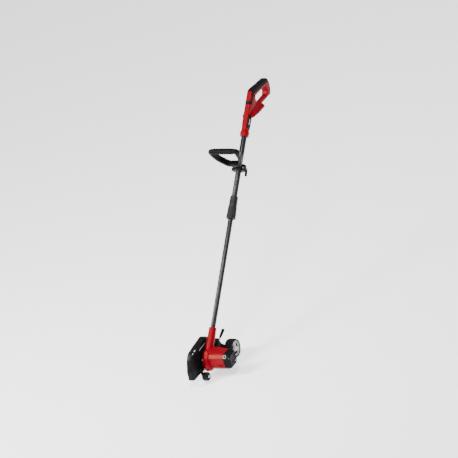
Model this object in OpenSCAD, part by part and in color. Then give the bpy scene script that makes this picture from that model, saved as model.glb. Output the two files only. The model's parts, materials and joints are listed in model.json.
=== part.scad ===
// Battery lawn edger: rear loop handle, telescopic shaft, auxiliary D handle and a geared cutting head.
// X runs across the tool, Y from the blade back to the user, Z up. The wheel and roller touch Z = 0.

/* [Shaft] */
// Lean of the shaft from vertical when the tool stands on its wheel
shaft_tilt = 48.1; // [46:0.1:50]
// Outside diameter of the upper tube
upper_tube_d = 25; // [24.6:0.1:25.2]
// Outside diameter of the lower, sliding tube
lower_tube_d = 22.5; // [22:0.1:22.5]
// Wall of both tubes
tube_wall = 1.2; // [1:0.05:1.2]
// Top of the head's socket, along the shaft
socket_top = 138; // [130:1:150]
// Lower end of the lock sleeve, along the shaft
sleeve_bottom = 643; // [600:1:660]
// Length of the lock sleeve and its body
sleeve_length = 104; // [100:1:110]
// Lower end of the handle collar, along the shaft
collar_bottom = 1027; // [1020:1:1030]

/* [Handle] */
// Width of the handle body
body_w = 32; // [30:0.5:34]
// Depth of the handle body, front to back of the shaft
body_depth = 36; // [34:0.5:38]
// Width of the battery foot
dock_w = 72; // [68:1:76]
// Wall of the handle shells
shell_wall = 2.6; // [2.4:0.1:3]
// Thickness of the soft moulding over the shells
soft_wall = 1.6; // [1.2:0.1:1.8]

/* [Auxiliary handle] */
// Middle of the clamp, along the shaft
aux_t = 880; // [860:1:900]
// Distance of the grip bar from the shaft
aux_reach = 156; // [140:1:165]
// Overall width of the loop
aux_w = 149; // [140:1:160]
// Diameter of the soft grip on the bar
aux_grip_d = 28; // [26:0.5:30]

/* [Head] */
// Height of the motor axis
motor_z = 82; // [80:0.5:84]
// Width of the gear housing
gearcase_w = 29; // [29:0.5:30]
// Outer end of the red motor housing
housing_end = 89.5; // [88:0.5:92]
// Outer end of the motor cap
cap_end = 120; // [118:0.5:124]
// Gear module
gear_module = 1.25; // [1.25:0.25:1.25]
// Teeth on the motor pinion
pinion_teeth = 12; // [12:1:12]
// Teeth on the spindle gear
gear_teeth = 36; // [36:1:36]

/* [Cutting] */
// Blade length, tip to tip
blade_length = 180; // [170:1:180]
// Blade width
blade_width = 48; // [40:1:50]
// Blade thickness
blade_thick = 3; // [2.5:0.1:3]

/* [Wheels] */
// Rear wheel diameter
wheel_d = 85; // [80:1:88]
// Rear wheel width
wheel_w = 40; // [36:1:42]
// Front roller diameter
roller_d = 39; // [36:1:40]

/* [Hidden] */
$fn = 48;

// Fits: a turning or sliding shaft, and a piece fixed in its seat
run_gap = 0.05;
seat_gap = 0.02;
eps = 0.1;

// The shaft axis crosses the head at this point
shaft_y = -13.4;
shaft_z = 89.7;
sleeve_top = sleeve_bottom + sleeve_length;
collar_top = collar_bottom + 27;
upper_tube_bottom = sleeve_bottom + 47;
upper_tube_top = collar_top + 46;
lower_tube_bottom = 55;
lower_tube_top = sleeve_bottom + 217;
lower_r = lower_tube_d / 2;
upper_r = upper_tube_d / 2;
half_w = body_w / 2;
half_d = body_depth / 2;

// Gear train
pressure_angle = 25;
backlash = 0.16;
gear_distance = gear_module * (pinion_teeth + gear_teeth) / 2;
gear_line = 47.7;
motor_y = 0;
spindle_y = motor_y - gear_distance * cos(gear_line);
spindle_z = motor_z - gear_distance * sin(gear_line);
case_x = gearcase_w / 2;

// Cutting side
guard_in = -24;
guard_out = -52;
guard_wall = 2.5;
blade_x = -38;
spindle_r = 4;
bearing_r = 11;
guard_screw_ring = 21;

// Wheel arm pivot, rear wheel and roller
pivot_y = 95;
pivot_z = 92;
wheel_y = 150;
wheel_z = wheel_d / 2;
wheel_x = 9;
roller_y = -54;
roller_z = roller_d / 2;
roller_x = -20.8;
roller_w = 25;
lever_knee = [97, 113];
lever_tip = [157, 137];

// Middle of the box, so that the part stands centred over its origin
centre_x = (cap_end - aux_w / 2) / 2;
centre_y = 458.5;

// A point in the side view, given along the shaft and towards the user's side of it
function p(t, n) = [
    shaft_y + t * sin(shaft_tilt) + n * cos(shaft_tilt),
    shaft_z + t * cos(shaft_tilt) - n * sin(shaft_tilt)
];

module placed() {
    translate([-centre_x, -centre_y, 0])
        children();
}

// Puts local Z along the shaft and local Y on the user's side
module on_shaft(t) {
    translate([0, p(t, 0)[0], p(t, 0)[1]])
        rotate([-shaft_tilt, 0, 0])
            children();
}

// Extrudes a side-view outline, drawn in Y and Z, across the tool
module side(x0, x1) {
    translate([x0, 0, 0])
        rotate([90, 0, 90])
            linear_extrude(x1 - x0)
                children();
}

module rod(x0, x1, y, z, r) {
    translate([x0, y, z])
        rotate([0, 90, 0])
            cylinder(h = x1 - x0, r = r);
}

module ring(x0, x1, y, z, r_out, r_in) {
    difference() {
        rod(x0, x1, y, z, r_out);
        rod(x0 - 1, x1 + 1, y, z, r_in);
    }
}

module shaft_ring(t0, t1, r0, r1, r_in) {
    on_shaft(t0)
        difference() {
            cylinder(h = t1 - t0, r1 = r0, r2 = r1);
            translate([0, 0, -1])
                cylinder(h = t1 - t0 + 2, r = r_in);
        }
}

// A round tube swept along a path; ref is never parallel to the path
function unit(v) = v / norm(v);
function path_dir(path, i, closed) = let (
    last = len(path) - 1,
    a = closed ? path[(i + last) % (last + 1)] : path[max(i - 1, 0)],
    b = closed ? path[(i + 1) % (last + 1)] : path[min(i + 1, last)]
) unit(b - a);

module swept(path, r, sides, ref, closed = false) {
    count = len(path);
    points = [
        for (i = [0 : count - 1])
            let (d = path_dir(path, i, closed), u = unit(cross(ref, d)), v = cross(d, u))
                for (j = [0 : sides - 1])
                    path[i] + r * (cos(360 * j / sides) * u + sin(360 * j / sides) * v)
    ];
    spans = closed ? count : count - 1;
    walls = [
        for (i = [0 : spans - 1])
            for (j = [0 : sides - 1])
                let (k = (j + 1) % sides, next = (i + 1) % count)
                    each [
                        [i * sides + j, next * sides + j, next * sides + k],
                        [i * sides + j, next * sides + k, i * sides + k]
                    ]
    ];
    ends = closed ? [] : [
        [for (j = [0 : sides - 1]) j],
        [for (j = [0 : sides - 1]) (count - 1) * sides + sides - 1 - j]
    ];
    polyhedron(points = points, faces = concat(walls, ends), convexity = 6);
}

function helix(r, height, turns, steps) = [
    for (i = [0 : turns * steps])
        [r * cos(360 * i / steps), r * sin(360 * i / steps), height * i / (turns * steps)]
];

// Quarter-round corner between two runs, as a short curve
function corner(a, c, b, r) = let (s = c + r * unit(a - c), e = c + r * unit(b - c)) [
    for (k = [0 : 5])
        let (f = k / 5) (1 - f) * (1 - f) * s + 2 * f * (1 - f) * c + f * f * e
];

// Involute tooth outline
function roll_at(rb, r) = sqrt(max(pow(r / rb, 2) - 1, 0));
function flank_angle(rb, r) = roll_at(rb, r) * 180 / PI - atan(roll_at(rb, r));
function tooth(teeth, m) = let (
    rp = m * teeth / 2,
    rb = rp * cos(pressure_angle),
    ra = rp + m,
    rr = rp - 1.25 * m,
    half = 90 / teeth - backlash / rp * 90 / PI + flank_angle(rb, rp),
    start = max(rb, rr),
    radii = [for (k = [0 : 6]) start + (ra - start) * k / 6],
    up = concat([[rr, -half]], [for (r = radii) [r, -half + flank_angle(rb, r)]]),
    down = [for (k = [0 : len(up) - 1]) let (q = up[len(up) - 1 - k]) [q[0], -q[1]]]
) concat(up, down);

module gear_2d(teeth, m) {
    outline = tooth(teeth, m);
    polygon([
        for (i = [0 : teeth - 1])
            for (q = outline)
                q[0] * [cos(q[1] + 360 * i / teeth), sin(q[1] + 360 * i / teeth)]
    ]);
}

/* ---- handle ---- */

grip_hole_top = 895;
dock_z = 830;
trigger_pivot = [945, 899.5];
lock_button_at = [897, 900];
screw_spots = [p(1113, -10.5), p(1160, -11.5), p(1206, -11.5), [1031, 901], [1034, 866]];

module handle_outline() {
    offset(r = 5)
        offset(delta = -5)
            polygon([
                p(collar_top, -half_d), [889.5, 924], [897, 929.5], [907, 930], [1036, 917],
                [1043, 907], [1047, 890], [1046, 868], [1040, 848], [1028, 836], [938, 836],
                [928, dock_z], [838, dock_z], p(collar_top, half_d)
            ]);
}

module grip_hole() {
    offset(r = 8)
        offset(delta = -8)
            polygon([
                [905, 893], [912, grip_hole_top], [1008, 892], [1014, 880], [1012, 862],
                [1002, 850], [932, 850], [905, 868]
            ]);
}

module lower_bar_zone() {
    polygon([[931, 820], [931, 852], [1012, 852], [1012, 820]]);
}

module soft_zone() {
    polygon([
        [896, 960], [900, 938], p(1226, -12.5), p(1192, -12.5), p(1188, -15), p(1188, -25),
        p(1174, -25), p(1174, -5.5), p(1222, -5.5), [908, 909], [1024, 900], [1032, 906], [1032, 960]
    ]);
}

module soft_seat() {
    difference() {
        side(-half_w - 1, half_w + 1)
            soft_zone();
        side(soft_wall - half_w, half_w - soft_wall)
            offset(delta = -soft_wall)
                handle_outline();
    }
}

module handle_cavity() {
    inner = half_w - shell_wall;
    side(-inner, inner)
        intersection() {
            offset(delta = -shell_wall)
                handle_outline();
            polygon([
                p(1102, -20), [880, 950], [906, 950], [906, 891.5], [902.2, 889], [902.2, 842],
                [833, 842], p(1102, 20)
            ]);
        }
    side(-8, 8)
        polygon([[905, 903], [1020, 899], [1020, 912], [905, 918.5]]);
    on_shaft(collar_top - 2)
        cylinder(h = 56, r = upper_r + seat_gap);
    side(-5.6, 5.6)
        polygon([[909, 888], [950, 888], [950, 904], [909, 904]]);
    rod(-7.6, 7.6, trigger_pivot[0], trigger_pivot[1], 2.5 + run_gap);
    rod(-half_w - 1, half_w + 1, lock_button_at[0], lock_button_at[1], 4.5 + run_gap);
    translate([-27, 830, dock_z - 1])
        cube([54, 110, 9]);
}

module handle_body() {
    side(-half_w, half_w)
        difference() {
            handle_outline();
            grip_hole();
            lower_bar_zone();
        }
    side(-11, 11)
        intersection() {
            difference() {
                handle_outline();
                grip_hole();
            }
            lower_bar_zone();
        }
    translate([0, 0, dock_z])
        linear_extrude(12)
            polygon([
                [-half_w - 1, 829], [half_w + 1, 829], [26, 822], [30, 832], [dock_w / 2, 872], [dock_w / 2, 928],
                [-dock_w / 2, 928], [-dock_w / 2, 872], [-30, 832], [-26, 822]
            ]);
    translate([0, 0, dock_z + 11])
        linear_extrude(9)
            polygon([[-half_w, 834], [half_w, 834], [27, 850], [27, 924], [-27, 924], [-27, 850]]);
}

module handle_half(sign) {
    difference() {
        intersection() {
            union() {
                difference() {
                    handle_body();
                    handle_cavity();
                }
                for (s = screw_spots)
                    rod(-half_w + 1, half_w - 1, s[0], s[1], 4.2);
            }
            translate([sign > 0 ? 0 : -100, 600, 700])
                cube([100, 600, 400]);
        }
        soft_seat();
        for (s = screw_spots) {
            rod(-13, half_w + 1, s[0], s[1], 1.8 + seat_gap);
            rod(13.5, half_w + 1, s[0], s[1], 3.6);
        }
    }
}

module handle_shell_left() {
    color("firebrick")
        placed()
            handle_half(-1);
}

module handle_shell_right() {
    color("firebrick")
        placed()
            handle_half(1);
}

module grip_overmould() {
    color("dimgray")
        placed()
            difference() {
                intersection() {
                    soft_seat();
                    side(-half_w, half_w)
                        handle_outline();
                }
                for (s = screw_spots)
                    rod(8, half_w + 1, s[0], s[1], 3.6);
            }
}

module label_plate() {
    color("black")
        placed()
            on_shaft(1060)
                translate([half_w, -15, 0])
                    cube([0.6, 26, 56]);
}

module handle_screws() {
    color("silver")
        placed()
            for (s = screw_spots) {
                rod(-12, 13.6, s[0], s[1], 1.8);
                rod(13.5, 15.8, s[0], s[1], 3.3);
            }
}

module battery_dock() {
    color("dimgray")
        placed()
            difference() {
                translate([-26.9, 831, dock_z + 0.4])
                    cube([53.8, 96, 7.5]);
                translate([-22, 834, dock_z - 1])
                    cube([44, 100, 3.9]);
                translate([-24.5, 834, dock_z + 2.6])
                    cube([49, 100, 2.4]);
                translate([-15, 836, dock_z + 3])
                    cube([30, 12, 10]);
            }
}

module battery_terminals() {
    color("goldenrod")
        placed()
            for (i = [-2 : 2])
                translate([i * 5.2 - 0.4, 838, dock_z + 0.6])
                    cube([0.8, 8, 7.2]);
}

module trigger_switch() {
    color("black")
        placed()
            difference() {
                translate([-4.5, 910.5, 908.5])
                    cube([9, 14, 8]);
                translate([-5, 913, 914.5])
                    cube([10, 1.5, 3]);
            }
}

module control_board() {
    color("darkgreen")
        placed()
            on_shaft(1140) {
                translate([-9.2, -6.5, 0])
                    cube([1.6, 14.5, 66]);
                translate([-7.6, -4, 8])
                    cube([7, 10, 14]);
                for (k = [0 : 2])
                    translate([-7.6, 1, 30 + 11 * k])
                        rotate([0, 90, 0])
                            cylinder(h = 9, r = 4);
            }
}

module trigger_spring() {
    color("silver")
        placed()
            translate([0, 932, 904])
                swept(helix(2.8, 12, 6, 12), 0.4, 6, [0, 0, 1]);
}

module lock_spring() {
    color("silver")
        placed()
            translate([1.9, lock_button_at[0], lock_button_at[1]])
                rotate([0, 90, 0])
                    swept(helix(5.5, 10.6, 5, 12), 0.4, 6, [0, 0, 1]);
}

module trigger() {
    color("black")
        placed() {
            difference() {
                side(-5, 5)
                    union() {
                        translate(trigger_pivot)
                            circle(r = 3.6);
                        polygon([
                            [945, 902.9], [913, 902.5], [911, 893], [913, 883], [917, 879],
                            [920, 880], [923, 887], [931, 892.5], [945, 896]
                        ]);
                    }
                side(-3.4, 3.4)
                    polygon([[915.5, 903.5], [914, 892], [916, 884], [926, 893], [938, 897], [938, 903.5]]);
            }
            rod(-7.4, 7.4, trigger_pivot[0], trigger_pivot[1], 2.5);
        }
}

module lock_off_button() {
    color("black")
        placed() {
            rod(-half_w - 2.5, half_w + 2.5, lock_button_at[0], lock_button_at[1], 4.5);
            rod(-1.2, 1.2, lock_button_at[0], lock_button_at[1], 6.3);
        }
}

/* ---- shaft ---- */

module upper_tube() {
    color("dimgray")
        placed()
            shaft_ring(upper_tube_bottom, upper_tube_top, upper_r, upper_r, upper_r - tube_wall);
}

module tube_collar() {
    color("firebrick")
        placed() {
            shaft_ring(collar_bottom + 4, collar_top, 21, 21, upper_r + seat_gap);
            shaft_ring(collar_bottom, collar_bottom + 4, 19, 21, upper_r + seat_gap);
        }
}

module cable_upper() {
    path = [
        for (q = [[0, 1016], [0, 1060], [0, 1104], [-2, 1112], [-3.4, 1119], [-3.6, 1127]])
            [q[0], p(q[1], 0)[0], p(q[1], 0)[1]]
    ];
    color("black")
        placed()
            swept(path, 2.5, 10, [1, 0, 0]);
}

module cable_coil() {
    color("black")
        placed()
            on_shaft(sleeve_bottom)
                swept(helix(7, 372, 18, 10), 1.8, 6, [0, 0, 1]);
}

module cable_lower() {
    path = concat(
        [for (t = [640, 480, 320, 160, 60]) [0, p(t, 0)[0], p(t, 0)[1]]],
        corner([0, p(60, 0)[0], p(60, 0)[1]], [0, 4.5, 108], [30, 4.5, 108], 9),
        [[26, 4.5, 108]]
    );
    color("black")
        placed()
            swept(path, 2.5, 10, [0, 0.668, -0.744]);
}

module coupling_body() {
    nose = sleeve_bottom + 12;
    shoulder = upper_tube_bottom + 10;
    color("dimgray")
        placed()
            on_shaft(0)
                rotate_extrude()
                    polygon([
                        [14, nose], [15.5, nose], [15.5, shoulder], [18.6, shoulder],
                        [17.5, sleeve_top], [upper_r + seat_gap, sleeve_top],
                        [upper_r + seat_gap, upper_tube_bottom - 0.3],
                        [lower_r + run_gap, upper_tube_bottom - 0.3],
                        [lower_r + run_gap, sleeve_bottom + 26], [14, sleeve_bottom + 26]
                    ]);
}

module collet() {
    color("white")
        placed()
            on_shaft(sleeve_bottom + 13)
                difference() {
                    cylinder(h = 12.5, r = 14 - seat_gap);
                    translate([0, 0, -1])
                        cylinder(h = 15, r = lower_r + run_gap);
                    for (k = [0 : 5])
                        rotate([0, 0, 60 * k])
                            translate([8, -0.6, -1])
                                cube([8, 1.2, 10]);
                }
}

module lock_sleeve() {
    mouth = sleeve_bottom + 11.6;
    end = upper_tube_bottom + 9.6;
    color("dimgray")
        placed()
            difference() {
                on_shaft(0)
                    rotate_extrude()
                        polygon([
                            [lower_r + 0.6, sleeve_bottom], [19.5, sleeve_bottom],
                            [21.5, sleeve_bottom + 3], [19.6, end], [15.5 + run_gap, end],
                            [15.5 + run_gap, mouth], [lower_r + 0.6, mouth]
                        ]);
                on_shaft(sleeve_bottom + 8)
                    for (k = [0 : 11])
                        rotate([0, 0, 30 * k])
                            translate([20, -1, 0])
                                cube([3, 2, 36]);
            }
}

module lower_tube() {
    color("dimgray")
        placed()
            shaft_ring(lower_tube_bottom, lower_tube_top, lower_r, lower_r, lower_r - tube_wall);
}

/* ---- auxiliary handle ---- */

aux_rise = 25;
aux_angle = 180 - shaft_tilt - atan(aux_rise / aux_reach);
aux_arm_r = 10;
aux_bar_at = norm([aux_reach, aux_rise]);
lever_n = 19;
ear_x = 25.5;

module on_aux() {
    translate([0, p(aux_t, 0)[0], p(aux_t, 0)[1]])
        rotate([aux_angle, 0, 0])
            children();
}

module clamp_half(sign) {
    difference() {
        on_shaft(aux_t - 15)
            union() {
                cylinder(h = 30, r = 20);
                translate([-32, sign > 0 ? 0 : -12, 0])
                    cube([64, 12, 30]);
            }
        on_shaft(aux_t - 20)
            cylinder(h = 40, r = upper_r + run_gap);
        on_shaft(aux_t - 20)
            translate([-50, sign > 0 ? -50 + 0.4 : -0.4, 0])
                cube([100, 50, 40]);
        on_shaft(aux_t)
            for (x = [-ear_x, ear_x])
                translate([x, 0, 0])
                    rotate([90, 0, 0])
                        cylinder(h = 60, r = 2.6 + seat_gap, center = true);
    }
}

module aux_loop() {
    bar_x = aux_w / 2 - aux_arm_r + 3.7;
    c = [[-30, 40, 0], [30, 40, 0], [bar_x, aux_bar_at, 0], [-bar_x, aux_bar_at, 0]];
    path = [for (i = [0 : 3]) each corner(c[(i + 3) % 4], c[i], c[(i + 1) % 4], 17)];
    color("black")
        placed() {
            clamp_half(-1);
            on_aux()
                swept(path, aux_arm_r, 14, [0, 0, 1], true);
            difference() {
                on_aux()
                    translate([-20, 15, -9])
                        cube([40, 24, 18]);
                on_shaft(aux_t - 60)
                    cylinder(h = 120, r = 18);
            }
        }
}

module aux_grip() {
    color("dimgray")
        placed()
            on_aux()
                translate([-46, aux_bar_at, 0])
                    rotate([0, 90, 0])
                        difference() {
                            cylinder(h = 92, r = aux_grip_d / 2);
                            translate([0, 0, -1])
                                cylinder(h = 94, r = aux_arm_r + seat_gap);
                        }
}

module aux_clamp_cap() {
    color("black")
        placed()
            clamp_half(1);
}

module aux_clamp_bolts() {
    color("silver")
        placed()
            on_shaft(aux_t)
                for (x = [-ear_x, ear_x])
                    translate([x, 0, 0]) {
                        rotate([90, 0, 0])
                            translate([0, 0, x > 0 ? -lever_n : -15])
                                cylinder(h = (x > 0 ? lever_n : 15) + 12.1, r = 2.6);
                        translate([0, -12, 0])
                            rotate([90, 0, 0])
                                cylinder(h = 3.5, r = 4.6, $fn = 6);
                        if (x > 0)
                            translate([-6, lever_n, 0])
                                rotate([0, 90, 0])
                                    cylinder(h = 12, r = 2.5);
                        if (x < 0)
                            translate([0, 12, 0])
                                rotate([-90, 0, 0])
                                    cylinder(h = 3.5, r = 4.6, $fn = 6);
                    }
}

module quick_lever() {
    color("black")
        placed()
            difference() {
                on_shaft(aux_t)
                    translate([ear_x - 5.5, lever_n, 0])
                        union() {
                            rotate([0, 90, 0])
                                cylinder(h = 11, r = 6.4);
                            translate([0, 1.4, -30])
                                cube([11, 5, 30]);
                        }
                on_shaft(aux_t)
                    translate([ear_x - 10, lever_n, 0])
                        rotate([0, 90, 0])
                            cylinder(h = 20, r = 2.5 + run_gap);
                on_shaft(aux_t)
                    translate([ear_x - 3.1, lever_n - 10, -8])
                        cube([6.2, 20, 18]);
            }
}

/* ---- head ---- */

gear_cavity_x = [-8.5, 1.5];
head_screw_spots = [[-43, 96], [-43.5, 49], [26, 56], [31, 100]];
cap_screw_spots = [[-30, 100], [-28, 52], [27, 56], [28, 103]];

module gearcase_outline() {
    polygon([
        [-20, 127], [-46, 104], [-52, 72], [-48, 42], [-31, 32], [-10, 32.5], [16, 41],
        [34, 58], [36, 104], [28, 127]
    ]);
}

module housing_outline() {
    polygon([
        [27, 115], [-26, 113], [-39, 100], [-37, 55], [-26, 42], [18, 42], [33, 56], [35, 104]
    ]);
}

module socket() {
    on_shaft(10)
        cylinder(h = socket_top - 10, r1 = 19.5, r2 = 16.5);
}

module head_hollows() {
    on_shaft(lower_tube_bottom)
        cylinder(h = 200, r = lower_r + seat_gap);
    on_shaft(18)
        cylinder(h = 60, r = 4.5);
    rod(-5, 14, 4.5, 108, 4.5);
    rod(gear_cavity_x[0], gear_cavity_x[1], spindle_y, spindle_z, 25.2);
    rod(gear_cavity_x[0], gear_cavity_x[1], motor_y, motor_z, 10.2);
    for (s = head_screw_spots) {
        rod(-11.5, 12, s[0], s[1], 1.8 + seat_gap);
        rod(-30, -11.5, s[0], s[1], 3.6);
    }
}

module gearcase_shell() {
    color("firebrick")
        placed()
            difference() {
                union() {
                    side(-case_x, 0)
                        gearcase_outline();
                    intersection() {
                        socket();
                        translate([-50, -50, 0])
                            cube([50, 300, 300]);
                    }
                    rod(-19, -case_x, spindle_y, spindle_z, 15);
                }
                head_hollows();
                rod(-17.02, -8, spindle_y, spindle_z, bearing_r + seat_gap);
                rod(-20, -8, spindle_y, spindle_z, 6.6);
                for (a = [90, 210, 330])
                    rod(-20, -9.9, spindle_y + guard_screw_ring * cos(a),
                        spindle_z + guard_screw_ring * sin(a), 1.8 + seat_gap);
            }
}

module motor_housing() {
    color("firebrick")
        placed()
            difference() {
                union() {
                    side(0, case_x)
                        gearcase_outline();
                    intersection() {
                        socket();
                        translate([0, -50, 0])
                            cube([50, 300, 300]);
                    }
                    difference() {
                        union() {
                            side(case_x - eps, housing_end)
                                housing_outline();
                            translate([0, 27, 0])
                                rotate([90, 0, 0])
                                    linear_extrude(50)
                                        polygon([[case_x - 1, 127], [housing_end, 114], [housing_end, 108],
                                            [case_x - 1, 108]]);
                        }
                        side(12, housing_end + 1)
                            offset(delta = -shell_wall)
                                housing_outline();
                    }
                    for (x = [24, 72])
                        side(x, x + 4)
                            offset(delta = -1)
                                housing_outline();
                    for (s = cap_screw_spots)
                        rod(74, housing_end, s[0], s[1], 4.5);
                }
                head_hollows();
                side(12, 21)
                    offset(delta = -shell_wall)
                        housing_outline();
                rod(10, housing_end + 1, motor_y, motor_z, 22 + seat_gap);
                rod(22, 30, 4.5, 108, 4.5);
                rod(1, 9, spindle_y, spindle_z, bearing_r + seat_gap);
                rod(1, 20, motor_y, motor_z, 4.5);
                rod(15, 22, motor_y, motor_z, 7.5);
                for (s = cap_screw_spots)
                    rod(80, housing_end + 1, s[0], s[1], 1.8 + seat_gap);
                for (k = [0 : 4])
                    translate([56 + 6 * k, -50, 52])
                        cube([3, 16, 17]);
            }
}

module cap_form(inset, x1, taper) {
    hull() {
        side(housing_end - (inset > 0 ? eps : 0), 102)
            offset(delta = -inset)
                housing_outline();
        side(x1 - 1, x1)
            offset(delta = -taper)
                housing_outline();
    }
}

module motor_end_cap() {
    color("dimgray")
        placed()
            difference() {
                union() {
                    difference() {
                        cap_form(0, cap_end, 9);
                        cap_form(shell_wall, cap_end - 3, 11.5);
                    }
                    for (s = cap_screw_spots)
                        rod(housing_end, 104, s[0], s[1], 4.5);
                    rod(112, cap_end, -12, 74, 12);
                }
                for (s = cap_screw_spots) {
                    rod(88, 103, s[0], s[1], 1.8 + seat_gap);
                    rod(101, cap_end + 1, s[0], s[1], 3.6);
                }
                rod(117, cap_end + 1, -12, 74, 9);
                for (k = [0 : 4])
                    translate([110, 6, 62 + 8 * k])
                        cube([15, 16, 3.4]);
                for (k = [0 : 3])
                    translate([94, -60, 58 + 9 * k])
                        cube([9, 30, 3.4]);
            }
}

module head_screws() {
    color("silver")
        placed() {
            for (s = head_screw_spots) {
                rod(-11.6, 11.9, s[0], s[1], 1.8);
                rod(-14, -11.5, s[0], s[1], 3.3);
            }
            for (s = cap_screw_spots) {
                rod(80.1, 101.1, s[0], s[1], 1.8);
                rod(101, 103.5, s[0], s[1], 3.3);
            }
        }
}

module motor_can() {
    color("silver")
        placed() {
            difference() {
                rod(18, 84, motor_y, motor_z, 22);
                rod(20.5, 81.5, motor_y, motor_z, 20.2);
                rod(17, 85, motor_y, motor_z, 7 + seat_gap);
            }
        }
}

module motor_magnets() {
    color("gray")
        placed()
            for (s = [0, 180])
                translate([26, motor_y, motor_z])
                    rotate([s, 0, 0])
                        rotate([0, 90, 0])
                            rotate([0, 0, 30])
                                rotate_extrude(angle = 120)
                                    translate([17.4, 0])
                                        square([2.7, 40]);
}

module brush_holder() {
    color("black")
        placed()
            difference() {
                union() {
                    ring(77.4, 79.2, motor_y, motor_z, 20.1, 8);
                    translate([69.5, motor_y - 5, motor_z - 18])
                        cube([9, 10, 10]);
                    translate([69.5, motor_y - 5, motor_z + 8])
                        cube([9, 10, 10]);
                }
                translate([70.4, motor_y - 3.1, motor_z - 40])
                    cube([6.2, 6.2, 80]);
            }
}

module brushes() {
    color("black")
        placed()
            for (z = [motor_z - 16, motor_z + 7])
                translate([70.5, motor_y - 3, z])
                    cube([6, 6, 9]);
}

module motor_bearings() {
    color("silver")
        placed()
            for (x = [15.8, 79.4])
                ring(x, x + 5, motor_y, motor_z, 7, 3 + run_gap);
}

module armature() {
    color("peru")
        placed()
            difference() {
                union() {
                    rod(28, 62, motor_y, motor_z, 16.8);
                    rod(23.5, 28, motor_y, motor_z, 13);
                    rod(62, 66.5, motor_y, motor_z, 13);
                }
                rod(20, 70, motor_y, motor_z, 3 + seat_gap);
                for (k = [0 : 8])
                    translate([27, motor_y, motor_z])
                        rotate([40 * k, 0, 0])
                            translate([0, -0.9, 14.2])
                                cube([36, 1.8, 4]);
            }
}

module commutator() {
    color("orange")
        placed()
            difference() {
                rod(67, 77.1, motor_y, motor_z, 6.5);
                rod(60, 80, motor_y, motor_z, 3 + seat_gap);
                for (k = [0 : 8])
                    translate([66, motor_y, motor_z])
                        rotate([40 * k, 0, 0])
                            translate([0, -0.25, 5.8])
                                cube([12, 0.5, 2]);
            }
}

module motor_shaft() {
    color("silver")
        placed()
            rod(-8.2, 98, motor_y, motor_z, 3);
}

module pinion() {
    color("gray")
        placed()
            translate([0, motor_y, motor_z])
                difference() {
                    side(-8, 1)
                        rotate(gear_line + 180)
                            gear_2d(pinion_teeth, gear_module);
                    rod(-9, 2, 0, 0, 3 + seat_gap);
                }
}

module cooling_fan() {
    color("white")
        placed() {
            ring(90.5, 97.5, motor_y, motor_z, 7, 3 + seat_gap);
            ring(90.5, 91.8, motor_y, motor_z, 21, 6.5);
            for (k = [0 : 10])
                translate([91.5, motor_y, motor_z])
                    rotate([360 / 11 * k, 0, 0])
                        translate([0, -0.6, 6.8])
                            cube([5.5, 1.2, 13.8]);
        }
}

module spindle() {
    color("silver")
        placed() {
            rod(-49, 8.6, spindle_y, spindle_z, spindle_r);
            rod(-9.8, -7.9, spindle_y, spindle_z, 6);
        }
}

module spindle_gear() {
    color("gray")
        placed()
            translate([0, spindle_y, spindle_z])
                difference() {
                    side(-7.5, 0.5)
                        rotate(gear_line + 180 / gear_teeth)
                            gear_2d(gear_teeth, gear_module);
                    rod(-9, 2, 0, 0, spindle_r + seat_gap);
                    rod(-9, -5.8, 0, 0, 17);
                    for (k = [0 : 5])
                        translate([-6, 13 * cos(60 * k), 13 * sin(60 * k)])
                            rotate([0, 90, 0])
                                cylinder(h = 10, r = 3);
                }
}

module spindle_bearings() {
    color("silver")
        placed()
            for (x = [-17, 1.8])
                difference() {
                    rod(x, x + 7, spindle_y, spindle_z, bearing_r);
                    rod(x - 1, x + 8, spindle_y, spindle_z, spindle_r + run_gap);
                    for (e = [x - 1, x + 6.6])
                        ring(e, e + 1.4, spindle_y, spindle_z, 9, 6.4);
                }
}

module inner_flange() {
    color("silver")
        placed()
            difference() {
                union() {
                    rod(-36.5, -32.5, spindle_y, spindle_z, 14);
                    rod(-33, -17.3, spindle_y, spindle_z, 5.9);
                }
                rod(-37, -17, spindle_y, spindle_z, spindle_r + seat_gap);
            }
}

module blade() {
    color("silver")
        placed()
            translate([0, spindle_y, spindle_z])
                difference() {
                    side(blade_x - blade_thick / 2, blade_x + blade_thick / 2)
                        intersection() {
                            square([blade_length, blade_width], center = true);
                            circle(r = blade_length / 2, $fn = 120);
                        }
                    rod(blade_x - 5, blade_x + 5, 0, 0, spindle_r + seat_gap);
                    for (s = [-1, 1])
                        rod(blade_x - 5, blade_x + 5, 26 * s, 0, 4);
                }
}

module blade_nut() {
    color("silver")
        placed()
            difference() {
                union() {
                    rod(-41.5, blade_x - blade_thick / 2, spindle_y, spindle_z, 12);
                    translate([-47, spindle_y, spindle_z])
                        rotate([0, 90, 0])
                            cylinder(h = 6, r = 7.5, $fn = 6);
                }
                rod(-48, -38, spindle_y, spindle_z, spindle_r + seat_gap);
            }
}

/* ---- guard, roller and wheel ---- */

bracket_screws = [[-61, 53], [-73, 67]];
quadrant_screws = [[82, 86], [104, 115]];

module guard_outline() {
    polygon([
        [-119, 35], [-130, 44], [-127, 82], [-104, 128], [-84, 149], [-70, 153], [40, 163],
        [50, 162], [112, 125], [120, 100], [118, 60], [104, 35]
    ]);
}

module guard() {
    color("dimgray")
        placed()
            difference() {
                union() {
                    side(guard_in - guard_wall, guard_in)
                        guard_outline();
                    side(guard_out, guard_in - 1)
                        difference() {
                            guard_outline();
                            offset(delta = -guard_wall)
                                guard_outline();
                            translate([-112, 0])
                                square([210, 50]);
                        }
                    rod(guard_in - 1, -case_x, spindle_y, spindle_z, 26);
                }
                rod(guard_out, 0, spindle_y, spindle_z, 16);
                for (a = [90, 210, 330])
                    rod(guard_out, 0, spindle_y + guard_screw_ring * cos(a),
                        spindle_z + guard_screw_ring * sin(a), 1.8 + seat_gap);
                for (s = concat(bracket_screws, quadrant_screws))
                    rod(guard_out, 0, s[0], s[1], 1.8 + seat_gap);
            }
}

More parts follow.
